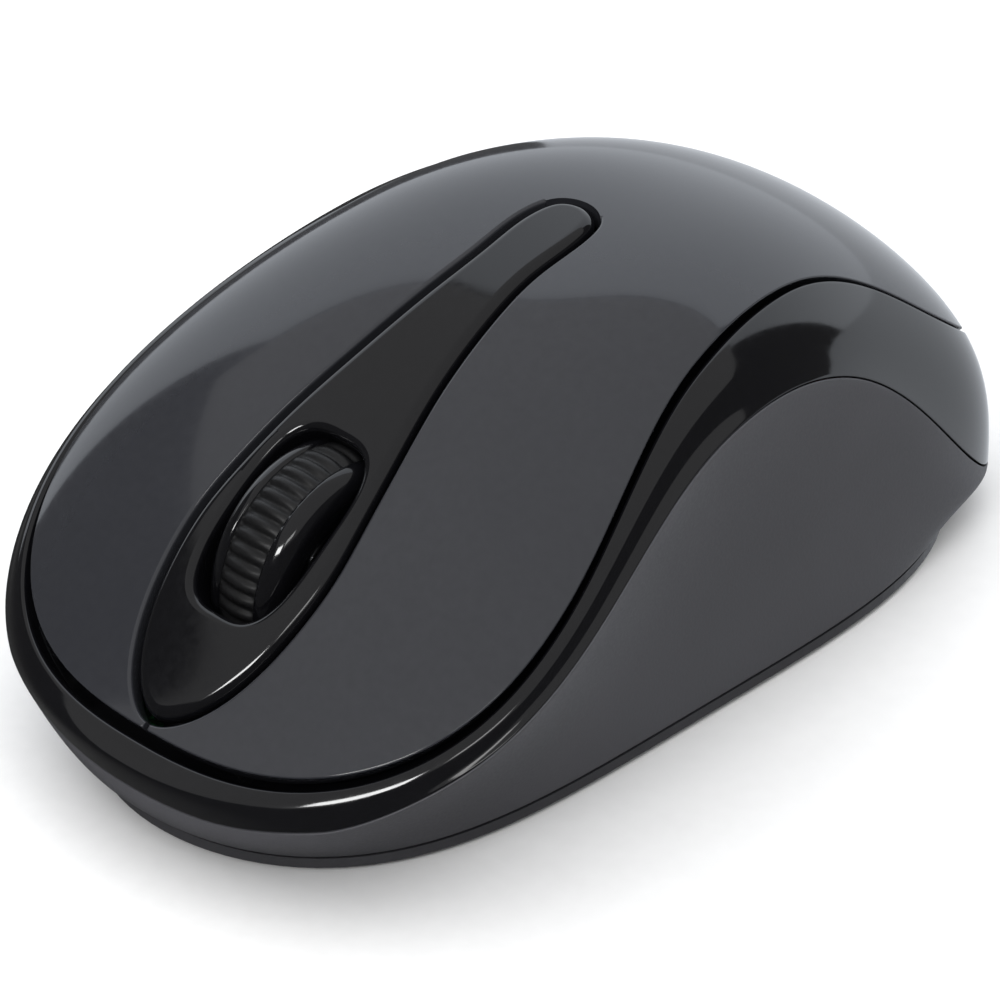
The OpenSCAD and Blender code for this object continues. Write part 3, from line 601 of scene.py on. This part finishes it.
def zinc_plated_steel():
    # Zinc-plated steel screws, pins and contacts: pale grey metal with a fine tumble texture
    return surface("zinc_plated_steel", "#9a9ca0", "#c8cace", 1.5, (0.22, 0.36), 0.15, 0.002,
                   [("Metallic", 1.0)])


def solder_mask_board():
    # Glass-epoxy board under green solder mask: a faint weave and tracks below a semi-gloss film
    material = surface("solder_mask_board", "#123f25", "#2a7546", 1.6, (0.25, 0.35), 0.5, 0.004,
                       [("IOR", 1.5)])
    tree = material.node_tree
    place = add_node(tree, "ShaderNodeTexCoord").outputs["Object"]
    # Copper tracks 0.4 mm wide, shown as lighter lines of a brick pattern 2.5 mm apart
    tracks = add_node(tree, "ShaderNodeTexBrick", [
        ("Vector", place), ("Scale", 1 / (5 * MM)), ("Color1", (*srgb("#1b5230"), 1)),
        ("Color2", (*srgb("#205c37"), 1)), ("Mortar", (*srgb("#3f8a58"), 1)),
        ("Mortar Size", 0.04)])
    shader = tree.nodes["Principled BSDF"]
    tree.links.new(tracks.outputs["Color"], shader.inputs["Base Color"])
    return material


def moulded_nylon():
    # Glass-filled nylon carrier and black component bodies: dull black with a grey bloom
    return surface("moulded_nylon", "#141416", "#2c2c30", 4, (0.45, 0.6), 0.3, 0.006,
                   [("IOR", 1.53)])


def natural_acetal():
    # Natural acetal plungers and knob: off-white, waxy
    return surface("natural_acetal", "#cfccc2", "#efece4", 3, (0.3, 0.4), 0.3, 0.002,
                   [("IOR", 1.48), ("Subsurface Weight", 0.15),
                    ("Subsurface Radius", (0.001, 0.001, 0.0008))])


def clear_acrylic():
    # Moulded acrylic lens: clear with a faint smoke tint and polished faces
    return surface("clear_acrylic", "#b8bcc2", "#e4e8ec", 5, (0.04, 0.08), 0.6, 0.001,
                   [("IOR", 1.49), ("Transmission Weight", 0.85)])


def red_led_epoxy():
    # Diffused red epoxy of the light
    return surface("red_led_epoxy", "#8c1f1a", "#d24a3e", 1, (0.15, 0.25), 0.3, 0.001,
                   [("IOR", 1.54), ("Transmission Weight", 0.3)])


def printed_sleeve():
    # Heat-shrunk PVC sleeve of the cell: plain red-brown film over steel
    return surface("printed_sleeve", "#6e2118", "#a8402f", 9, (0.2, 0.3), 0.7, 0.002,
                   [("IOR", 1.53), ("Coat Weight", 0.4)])


def blue_sleeve():
    # Blue PET sleeve of the capacitors
    return surface("blue_sleeve", "#1c2942", "#3b5078", 2, (0.25, 0.35), 0.3, 0.001,
                   [("IOR", 1.57)])


# ---- settings ----
def length(label, use, value):
    return FloatProperty(name=label, description=use, default=value, unit="LENGTH")


class MouseSizes(bpy.types.PropertyGroup):
    body_len: length("Length", "Overall length of the body", 0.098)
    body_w: length("Width", "Width of the dome's full outline", 0.0644)
    body_h: length("Height", "Height of the dome", 0.0392)
    base_w: length("Base width", "Width of the base outline", 0.0432)
    base_inset_front: length("Base inset, nose", "From the body's nose to the base's nose", 0.0042)
    base_inset_rear: length("Base inset, tail", "From the body's tail to the base's tail", 0.004)
    waterline_front: length("Waterline, nose", "Height of the widest line at the nose", 0.0094)
    waterline_rear: length("Waterline, tail", "Height of the widest line at the tail", 0.0034)
    case_edge: length("Case edge", "Height of the lower case's bottom edge", 0.0018)
    wall: length("Wall", "Wall of the shells", 0.0018)
    seam_front: length("Cover seam, nose", "Gap between cover and band at the nose", 0.0011)
    seam_rear: length("Cover seam, tail", "Gap between cover and band at the tail", 0.0003)
    case_seam: length("Case seam", "Gap between band and lower case", 0.0002)
    trim_gap: length("Trim gap", "Gap round the centre trim", 0.0005)
    trim_proud: length("Trim proud", "Height of the trim above the cover", 0.00025)
    flex_y: length("Flex line", "Where the button fingers start to flex", 0.005)
    slit_w: length("Slit", "Width of the slit between the buttons", 0.0005)
    opening_half_w: length("Wheel opening, half width", "Half width of the wheel opening", 0.0051)
    opening_half_len: length("Wheel opening, half length", "Half length along the slope", 0.009)
    wheel_r: length("Wheel radius", "Radius of the tyre", 0.0107)
    tyre_w: length("Tyre width", "Width of the tyre", 0.0042)
    tyre_t: length("Tyre thickness", "Thickness of the rubber", 0.0017)
    disc_t: length("Disc thickness", "Thickness of each gloss disc", 0.0018)
    tyre_ribs: IntProperty(name="Ribs", description="Number of ribs round the tyre", default=48,
                           min=12)


def hex_property(label, use, value):
    return StringProperty(name=label, description=use, default=value)


class MouseColours(bpy.types.PropertyGroup):
    cover_dark: hex_property("Cover, dark", "Darker shade of the slate cover", "#292a2e")
    cover_light: hex_property("Cover, light", "Lighter shade of the slate cover", "#333438")
    black_dark: hex_property("Gloss black, dark", "Darker shade of trim and band", "#09090b")
    black_light: hex_property("Gloss black, light", "Lighter shade of trim and band", "#111114")
    case_dark: hex_property("Case, dark", "Darker shade of the matt case", "#434347")
    case_light: hex_property("Case, light", "Lighter shade of the matt case", "#57575c")
    rubber_dark: hex_property("Rubber, dark", "Darker shade of the tyre", "#0c0c0d")
    rubber_light: hex_property("Rubber, light", "Lighter shade of the tyre", "#161618")
    base_dark: hex_property("Base, dark", "Darker shade of the base", "#343437")
    base_light: hex_property("Base, light", "Lighter shade of the base", "#47474b")


def settings():
    scene = bpy.context.scene
    return scene.mouse_sizes, scene.mouse_colours


def finish_piece(obj, material, body, nodes):
    """Gives a new piece its material and body, and hides the CAD nodes it stands for."""
    obj.data.materials.append(material)
    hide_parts(*nodes)
    if body:
        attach(obj, body)
    return obj


def finish_node(node, material):
    """Gives a CAD node that stays in view its procedural material."""
    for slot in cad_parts[node].material_slots:
        slot.link = "OBJECT"
        slot.material = material


# ---- outlines of the cover and the trim ----
def trim_outline(grow):
    """Closed outline of the centre trim, grown by a length, in millimetres."""
    right = spline_line(TRIM_LINE, TRIM_POINTS, ((1, 0), (-1, 0)))
    loop = np.concatenate([right, (right * [-1, 1])[-2:0:-1]])
    run = np.roll(loop, -1, axis=0) - np.roll(loop, 1, axis=0)
    out = unit(np.stack([run[:, 1], -run[:, 0]], -1))
    return loop + grow * out


def cover_rim(skin):
    """Edge of the cover at the band seam, right half from nose to tail, in millimetres."""
    th = np.linspace(0, 180, RING + 1)
    w = smooth(COVER_SEAM, th, flat=True)
    w = w - skin.level_step(np.clip(th, 0.5, 179.5), w, skin.seam_gap(th) / 2)
    return skin.over(th, w)[:, :2]


def cut_line(line, y):
    """The two parts of a line that climbs in y, split at a height, with the crossing on both."""
    k = int(np.flatnonzero(line[:, 1] > y)[0])
    u = (y - line[k - 1, 1]) / (line[k, 1] - line[k - 1, 1])
    cross = lerp(line[k - 1], line[k], u)
    return np.vstack([line[:k], cross]), np.vstack([cross, line[k:]])


def cut_past_x(line, x):
    """The part of a line that starts on the middle line from where it passes x."""
    k = int(np.flatnonzero(line[:, 0] > x)[0])
    u = (x - line[k - 1, 0]) / (line[k, 0] - line[k - 1, 0])
    return np.vstack([lerp(line[k - 1], line[k], u), line[k:]])


def drop_close(loop, least=0.02):
    """An outline without points that almost coincide."""
    keep = [loop[0]]
    for p in loop[1:]:
        if np.linalg.norm(p - keep[-1]) > least:
            keep.append(p)
    if np.linalg.norm(keep[0] - keep[-1]) < least:
        keep.pop()
    return np.array(keep)


# ---- the pieces ----
class MOUSE_OT_cover(bpy.types.Operator):
    """Builds the palm cover and the two button fingers, which meet it at the flex line without a seam
    """
    bl_idname = "mouse.cover"
    bl_label = "Cover and buttons"

    def execute(self, context):
        sizes, colours = settings()
        skin = Skin(sizes)
        flex, slit = sizes.flex_y / MM, sizes.slit_w / MM / 2
        wall = sizes.wall / MM
        material = lacquered_abs(colours)
        hole = trim_outline(sizes.trim_gap / MM)[:TRIM_POINTS]
        rim = cover_rim(skin)
        hole_front, hole_rear = cut_line(hole, flex)
        rim_front, rim_rear = cut_line(rim, flex)
        hole_front, rim_front = cut_past_x(hole_front, slit), cut_past_x(rim_front, slit)
        near, far = hole_front[-1, 0], rim_front[-1, 0]
        steps, _ = roll_steps(HOLE_ROLL, ROLL_STEPS)
        rim_steps, _ = roll_steps(RIM_ROLL, ROLL_STEPS)
        across = np.unique(np.concatenate([near + steps, np.linspace(near + 0.8, far - 1.2, 24),
                                           far - rim_steps]))
        line = np.stack([across, np.full(len(across), flex)], -1)
        slit_line = np.linspace(rim_front[0], hole_front[0], 8)
        finger = drop_close(np.vstack([hole_front, line[1:-1], rim_front[::-1], slit_line[1:-1]]))
        hole_edge = cut_past_x(hole, slit)
        rim_edge = cut_past_x(rim, slit)
        for side, body in ((1, "left_button"), (-1, "right_button")):
            turn = np.array([side, 1])
            loop = (finger * turn)[::side]
            rolled = [((edge * turn)[::side], roll) for edge, roll in (
                (hole_edge, HOLE_ROLL), (rim_edge, RIM_ROLL), (slit_line, SLIT_ROLL))]
            obj = plate(body + "_skin", skin, [loop], rolled, COVER_MESH, wall)
            finish_piece(obj, material, None, [body])
            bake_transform(obj)
        mirror = np.array([-1, 1])
        palm = drop_close(np.vstack([
            hole_rear, (hole_rear * mirror)[::-1][1:], (line * mirror)[1:-1], rim_rear * mirror,
            rim_rear[::-1][1:], line[::-1][1:-1]]))
        full_hole = np.vstack([hole, (hole * mirror)[::-1]])
        full_rim = np.vstack([rim, (rim * mirror)[::-1]])
        obj = plate("palm_cover_skin", skin, [palm], [(full_hole, HOLE_ROLL), (full_rim, RIM_ROLL)],
                    COVER_MESH, wall)
        finish_piece(obj, material, "root", ["palm_cover"])
        return {"FINISHED"}


class MOUSE_OT_trim(bpy.types.Operator):
    """Builds the spoon-shaped centre trim with its wheel opening"""
    bl_idname = "mouse.trim"
    bl_label = "Centre trim"

    def execute(self, context):
        sizes, colours = settings()
        skin = Skin(sizes)
        outline = trim_outline(0)
        wheel = node_centre("wheel_tyre")
        slot_y = wheel[1] - OPENING_AHEAD
        rise = skin.dome(np.zeros(2), np.array([wheel[1] - 1, wheel[1] - 9]))
        tilt = math.atan2(rise[0] - rise[1], 8)
        a = np.linspace(0, 2 * np.pi, 180, endpoint=False)
        x, run = (half / MM * np.sign(wave) * np.abs(wave) ** (2 / OVAL_POWER) for half, wave in (
            (sizes.opening_half_w, np.cos(a)), (sizes.opening_half_len, np.sin(a))))
        hole = np.stack([x, slot_y + run * math.cos(tilt)], -1)
        edge, opening = np.vstack([outline, outline[:1]]), np.vstack([hole, hole[:1]])[::-1]

        def skirt(distances):
            return lerp(TRIM_T, SKIRT, np.clip(SKIRT_REACH - distances[1], 0, 1))

        obj = plate("centre_trim_skin", skin, [drop_close(outline), drop_close(hole)],
                    [(edge, TRIM_ROLL), (opening, OPENING_ROLL)], TRIM_MESH, TRIM_T,
                    lift=sizes.trim_proud / MM, skirt=skirt)
        finish_piece(obj, piano_black_abs(colours), "root", ["centre_trim"])
        return {"FINISHED"}


def skin_normal(face, th, w):
    """Outward normal of a two-parameter surface by central differences."""
    down = face(th, w + NORMAL_STEP) - face(th, w - NORMAL_STEP)
    along = face(th + 0.5, w) - face(th - 0.5, w)
    return unit(np.cross(down, along))


class MOUSE_OT_band(bpy.types.Operator):
    """Builds the gloss band between cover and lower case, with its ridge, valley and stop ledge"""
    bl_idname = "mouse.band"
    bl_label = "Side band"

    def execute(self, context):
        sizes, colours = settings()
        skin = Skin(sizes)
        wall = sizes.wall / MM
        th = (np.arange(RING) + 0.5) * 360 / RING
        top = smooth(COVER_SEAM, fold(th), flat=True)
        top = top + skin.level_step(th, top, skin.seam_gap(th) / 2)
        low = smooth(CASE_SEAM, fold(th), flat=True)
        low = low - skin.level_step(th, low, sizes.case_seam / MM)
        share = np.linspace(-0.6, 1, 321)[:, None]
        levels = np.maximum(top + (low - top) * share, 0.02)
        dense = skin.over(th[None], levels)
        run = np.concatenate([np.zeros((1, RING)),
                              np.cumsum(np.linalg.norm(np.diff(dense, axis=0), axis=-1), axis=0)])
        zero = int(np.argmin(np.abs(share[:, 0])))
        run = run - run[zero]
        length = run[-1]

        def at(s, depth, relief=True):
            level = np.array([np.interp(s[i], run[:, i], levels[:, i]) for i in range(RING)])
            point = skin.over(th, level)
            lift = np.zeros(RING)
            if relief:
                lift = (smooth(BAND_RELIEF, np.clip(s / length, 0, 1))
                        * smooth(RELIEF_SHARE, fold(th), flat=True))
            normal = skin_normal(skin.over, th, level)
            return point + normal * (lift - depth)[:, None]

        one = np.ones(RING)
        steps, depths = roll_steps(BAND_ROLL, ROLL_STEPS)
        low_steps, low_depths = roll_steps(SEAM_ROLL, SEAM_STEPS)
        rows = [at(s * one, d * one) for s, d in zip(steps, depths)]
        for k in range(1, BAND_ROWS):
            rows.append(at(lerp(BAND_ROLL * one, length - SEAM_ROLL, k / BAND_ROWS), 0 * one))
        rows += [at(length - s, d * one) for s, d in zip(low_steps[::-1], low_depths[::-1])]
        rows += [at(lerp(length, LEDGE_FOOT * one, k / LEDGE_ROWS), wall * one, False)
                 for k in range(LEDGE_ROWS + 1)]
        rows += [at(s * one, depth * one, False) for s, depth in (
            (LEDGE_FOOT / 2, LEDGE_LOW), (-LEDGE_W, LEDGE_LOW), (-LEDGE_W, LEDGE_TOP), (0, LEDGE_TOP))]
        rows.append(at(0 * one, (BAND_ROLL + LEDGE_STEP) * one))
        obj = closed_ring("side_band_skin", np.array(rows))
        finish_piece(obj, piano_black_abs(colours), "root", ["side_band"])
        return {"FINISHED"}


class MOUSE_OT_case(bpy.types.Operator):
    """Builds the matt lower case with its waisted grips"""
    bl_idname = "mouse.case"
    bl_label = "Lower case"

    def execute(self, context):
        sizes, colours = settings()
        skin = Skin(sizes)
        wall = sizes.wall / MM
        th = (np.arange(RING) + 0.5) * 360 / RING
        edge = skin_normal(skin.over, th, smooth(CASE_SEAM, fold(th), flat=True))
        chord = skin.wall(th, np.ones(RING)) - skin.wall(th, np.zeros(RING))
        height = np.linalg.norm(chord, axis=-1)

        def at(v, depth):
            return skin.wall(th, v) - skin_normal(skin.wall, th, v) * depth

        def inner(v):
            level = unit(skin_normal(skin.wall, th, v) * [1, 1, 0])
            turn = np.minimum(1, INNER_TURN * v)[:, None]
            return skin.wall(th, v) - wall * unit(lerp(edge, level, turn))

        steps, depths = roll_steps(SEAM_ROLL, SEAM_STEPS)
        low_steps, low_depths = roll_steps(CASE_FOOT_ROLL, 6)
        rows = [at(s / height, d) for s, d in zip(steps, depths)]
        start, end = SEAM_ROLL / height, 1 - CASE_FOOT_ROLL / height
        rows += [at(lerp(start, end, k / CASE_ROWS), 0) for k in range(1, CASE_ROWS)]
        rows += [at(1 - s / height, d) for s, d in zip(low_steps[::-1], low_depths[::-1])]
        rows += [inner(np.full(RING, 1 - k / INNER_ROWS)) for k in range(INNER_ROWS + 1)]
        obj = closed_ring("lower_case_skin", np.array(rows))
        finish_piece(obj, spark_eroded_abs(colours), "root", ["lower_case"])
        return {"FINISHED"}


def node_centre(node):
    """Middle of a CAD node's box, in millimetres."""
    lo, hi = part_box(node)
    return (np.array(lo) + np.array(hi)) / 2 / MM


class MOUSE_OT_wheel(bpy.types.Operator):
    """Builds the ribbed rubber tyre and the two gloss discs beside it"""
    bl_idname = "mouse.wheel"
    bl_label = "Wheel"

    def execute(self, context):
        sizes, colours = settings()
        centre = node_centre("wheel_tyre")
        radius, half = sizes.wheel_r / MM, sizes.tyre_w / MM / 2
        core = radius - sizes.tyre_t / MM
        xs = half * np.sin(np.linspace(-np.pi / 2, np.pi / 2, TYRE_ROWS))
        tread = [(x, radius - TYRE_CROWN * abs(x / half) ** 2.5) for x in xs]
        flank = radius - TYRE_CROWN - TYRE_SHOULDER
        profile = [(-half, core), (-half, flank)] + tread[1:-1] + [(half, flank), (half, core)]

        def ribs(k, x, turn):
            if k in (0, len(profile) - 1):
                return 0
            fade = 1 - abs(x / half) ** 8
            wave = 0.5 - 0.5 * np.cos(sizes.tyre_ribs * turn)
            return RIB_DEPTH * fade * wave ** 1.6

        obj = lathe_x("tyre_skin", profile, centre, sizes.tyre_ribs * 12, ribs)
        finish_piece(obj, moulded_rubber(colours), "wheel", ["wheel_tyre"])

        thick = sizes.disc_t / MM
        outer = radius - DISC_STEP
        bend = np.linspace(0, np.pi / 2, 12)
        crown = [(DISC_FLANK + (thick - DISC_FLANK) * math.sin(b),
                  outer - DISC_SHOULDER * (1 - math.cos(b))) for b in bend]
        dish = [(thick - 0.12 * u - 0.28 * u * u, lerp(outer - DISC_SHOULDER, DISC_EYE, u))
                for u in np.linspace(0.12, 1, 8)]
        disc = [(DISC_FIT, DISC_EYE), (DISC_FIT, outer)] + crown + dish
        black = piano_black_abs(colours)
        for side, node in ((1, "left_wheel_disc"), (-1, "right_wheel_disc")):
            turned = [(side * (half + x), r) for x, r in disc]
            obj = lathe_x(node + "_skin", turned, centre, 180)
            finish_piece(obj, black, "wheel", [node])
        return {"FINISHED"}


class MOUSE_OT_screws(bpy.types.Operator):
    """Builds the cross-head case screws under the tail"""
    bl_idname = "mouse.screws"
    bl_label = "Case screws"

    def execute(self, context):
        lo, hi = (np.array(c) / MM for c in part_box("case_screws"))
        seat = lo[2] + SCREW_SEAT
        middle_y = (lo[1] + hi[1]) / 2
        parts, faces = [], []
        turns = 96
        turn = np.linspace(0, 2 * np.pi, turns, endpoint=False)
        for x in (lo[0] + SCREW_HEAD_R, hi[0] - SCREW_HEAD_R):
            rows = []
            for r in np.linspace(0.02, SCREW_HEAD_R - 0.25, 18):
                px, py = r * np.cos(turn), r * np.sin(turn)
                arm = np.minimum(np.maximum(np.abs(px), np.abs(py) * CROSS_THIN),
                                 np.maximum(np.abs(py), np.abs(px) * CROSS_THIN))
                cut = CROSS_DEPTH * np.clip((CROSS_REACH - arm) / CROSS_SLOPE, 0, 1)
                dome = 0.12 * (r / SCREW_HEAD_R) ** 2
                rows.append(np.stack([x + px, middle_y + py, lo[2] + dome + cut], -1))
            for r, z in ((SCREW_HEAD_R - 0.1, lo[2] + 0.16), (SCREW_HEAD_R, lo[2] + 0.3),
                         (SCREW_HEAD_R, seat), (SCREW_SHANK_R, seat),
                         (SCREW_SHANK_R, hi[2] - 0.3), (0.3, hi[2]), (0.02, hi[2])):
                rows.append(np.stack([x + r * np.cos(turn), middle_y + r * np.sin(turn),
                                      np.full(turns, z)], -1))
            grid = np.array(rows)
            start = sum(len(p) for p in parts)
            parts.append(grid.reshape(-1, 3))
            for j in range(len(rows) - 1):
                for i in range(turns):
                    a, b = start + j * turns + i, start + j * turns + (i + 1) % turns
                    faces.append((a, b, b + turns, a + turns))
            last = start + (len(rows) - 1) * turns
            faces.append([start + i for i in range(turns)][::-1])
            faces.append([last + i for i in range(turns)])
        points = np.concatenate(parts)
        if signed_volume(points, faces) < 0:
            faces = [list(f)[::-1] for f in faces]
        obj = new_object("case_screw_set", points, faces)
        finish_piece(obj, zinc_plated_steel(), "root", ["case_screws"])
        return {"FINISHED"}


class MOUSE_OT_inside(bpy.types.Operator):
    """Gives the base, the electronics and the battery their materials"""
    bl_idname = "mouse.inside"
    bl_label = "Base and inside"

    def execute(self, context):
        _, colours = settings()
        finishes = {
            textured_base_abs(colours): ["base_plate", "battery_door"],
            skived_ptfe(): ["front_feet", "rear_feet"],
            moulded_nylon(): ["wheel_core", "wheel_carrier", "left_switch", "right_switch",
                              "middle_switch", "encoder_detector", "sensor_chip", "radio_chip",
                              "power_switch", "receiver_cap"],
            zinc_plated_steel(): ["wheel_axle", "carrier_pin", "crystal", "front_contact",
                                  "rear_contact", "board_screws", "receiver_plug"],
            natural_acetal(): ["left_plunger", "right_plunger", "middle_plunger", "power_knob"],
            solder_mask_board(): ["circuit_board"],
            clear_acrylic(): ["sensor_lens", "encoder_emitter"],
            red_led_epoxy(): ["sensor_light"],
            printed_sleeve(): ["battery_cell"],
            blue_sleeve(): ["capacitors"],
        }
        for material, nodes in finishes.items():
            for node in nodes:
                finish_node(node, material)
        return {"FINISHED"}


def soft_box(name, place, across, facing, box, colour=WHITE, mirrored=True):
    """A rectangular studio light, in metres and watts per square metre and steradian."""
    light = bpy.data.lights.new(name, "AREA")
    light.shape = "RECTANGLE"
    light.size, light.size_y = box["width"], box["height"]
    light.energy = box["radiance"] * math.pi * box["width"] * box["height"]
    light.color = colour
    obj = bpy.data.objects.new(name, light)
    back = -Vector(facing).normalized()
    turned = Matrix((across, back.cross(across), back)).transposed().to_4x4()
    obj.matrix_world = Matrix.Translation(place) @ turned
    obj.visible_glossy = mirrored
    obj.visible_camera = False
    bpy.context.collection.objects.link(obj)
    return obj


def toward(azimuth, elevation, distance):
    """Place at a distance in a direction: azimuth from +X toward +Y, in degrees."""
    az, el = math.radians(azimuth), math.radians(elevation)
    return (distance * math.cos(az) * math.cos(el), distance * math.sin(az) * math.cos(el),
            distance * math.sin(el))


class MOUSE_OT_stage(bpy.types.Operator):
    """Lays the pale floor, hangs the soft lights and sets the camera"""
    bl_idname = "mouse.stage"
    bl_label = "Stage"

    def execute(self, context):
        scene = context.scene
        scene.view_settings.view_transform = "Standard"
        corners = FLOOR_HALF / MM * np.array([(-1, -1, 0), (1, -1, 0), (1, 1, 0), (-1, 1, 0)])
        floor = new_object("floor", corners, [(0, 1, 2, 3)])
        # Uncoated white card: matt, with a fine tooth
        floor.data.materials.append(surface("matt_paper", "#f1f1f1", "#fbfbfb", 300,
                                            (0.7, 0.8), 2, 0.01))
        floor.visible_glossy = False
        world = bpy.data.worlds.new("studio")
        world.use_nodes = True
        glow = world.node_tree.nodes["Background"]
        glow.inputs["Color"].default_value = (*WHITE, 1)
        glow.inputs["Strength"].default_value = WORLD_STRENGTH
        scene.world = world
        up = Vector((0, 0, 1))
        away = Vector(toward(SWEEP_AZIMUTH, 0, 1))
        across = away.cross(up)
        for name, box, facing, colour, mirrored in (
                ("sweep", SWEEP, -away, SWEEP_COLOUR, True),
                ("sweep_foot", SWEEP_FOOT, -away, SWEEP_COLOUR, True),
                ("ceiling", CEILING, -up, WHITE, True),
                ("overhead", OVERHEAD, -up, WHITE, False)):
            place = across * box["across"] + away * box["away"] + up * box["up"]
            soft_box(name, place, across, facing, box, colour, mirrored)
        for number, box in enumerate(STREAKS):
            place = Vector(toward(box["azimuth"], box["elevation"], STREAK_DISTANCE))
            level = place.cross(up).normalized()
            soft_box(f"streak_{number}", place, level, -place, box)

        az, el, roll = (math.radians(a) for a in (CAMERA_AZIMUTH, CAMERA_ELEVATION, CAMERA_ROLL))
        back = Vector((math.sin(az) * math.cos(el), -math.cos(az) * math.cos(el), math.sin(el)))
        right = Vector((math.cos(az), math.sin(az), 0))
        up = back.cross(right)
        right, up = (math.cos(roll) * right + math.sin(roll) * up,
                     math.cos(roll) * up - math.sin(roll) * right)
        camera = bpy.data.objects.new("camera", bpy.data.cameras.new("camera"))
        turned = Matrix((right, up, back)).transposed().to_4x4()
        place = Vector(CAMERA_AIM) + back * CAMERA_DISTANCE
        camera.matrix_world = Matrix.Translation(place) @ turned
        camera.data.lens = CAMERA_LENS
        camera.data.clip_end = 20
        context.collection.objects.link(camera)
        scene.camera = camera
        return {"FINISHED"}


class MOUSE_PT_panel(bpy.types.Panel):
    """Lists the mouse's pieces in the sidebar"""
    bl_idname = "MOUSE_PT_panel"
    bl_label = "Cordless mouse"
    bl_space_type = "VIEW_3D"
    bl_region_type = "UI"
    bl_category = "Mouse"

    def draw(self, context):
        for group in (context.scene.mouse_sizes, context.scene.mouse_colours):
            box = self.layout.box()
            for key in group.__annotations__:
                box.prop(group, key)
        for operator in OPERATORS:
            self.layout.operator(operator.bl_idname)


OPERATORS = [MOUSE_OT_cover, MOUSE_OT_trim, MOUSE_OT_band, MOUSE_OT_case, MOUSE_OT_wheel,
             MOUSE_OT_screws, MOUSE_OT_inside, MOUSE_OT_stage]
CLASSES = [MouseSizes, MouseColours, *OPERATORS, MOUSE_PT_panel]


def register():
    for each in CLASSES:
        bpy.utils.register_class(each)
    bpy.types.Scene.mouse_sizes = PointerProperty(type=MouseSizes)
    bpy.types.Scene.mouse_colours = PointerProperty(type=MouseColours)


def unregister():
    del bpy.types.Scene.mouse_colours
    del bpy.types.Scene.mouse_sizes
    for each in reversed(CLASSES):
        bpy.utils.unregister_class(each)


def main():
    register()
    for operator in OPERATORS:
        group, name = operator.bl_idname.split(".")
        getattr(getattr(bpy.ops, group), name)()


if __name__ == "__main__":
    main()
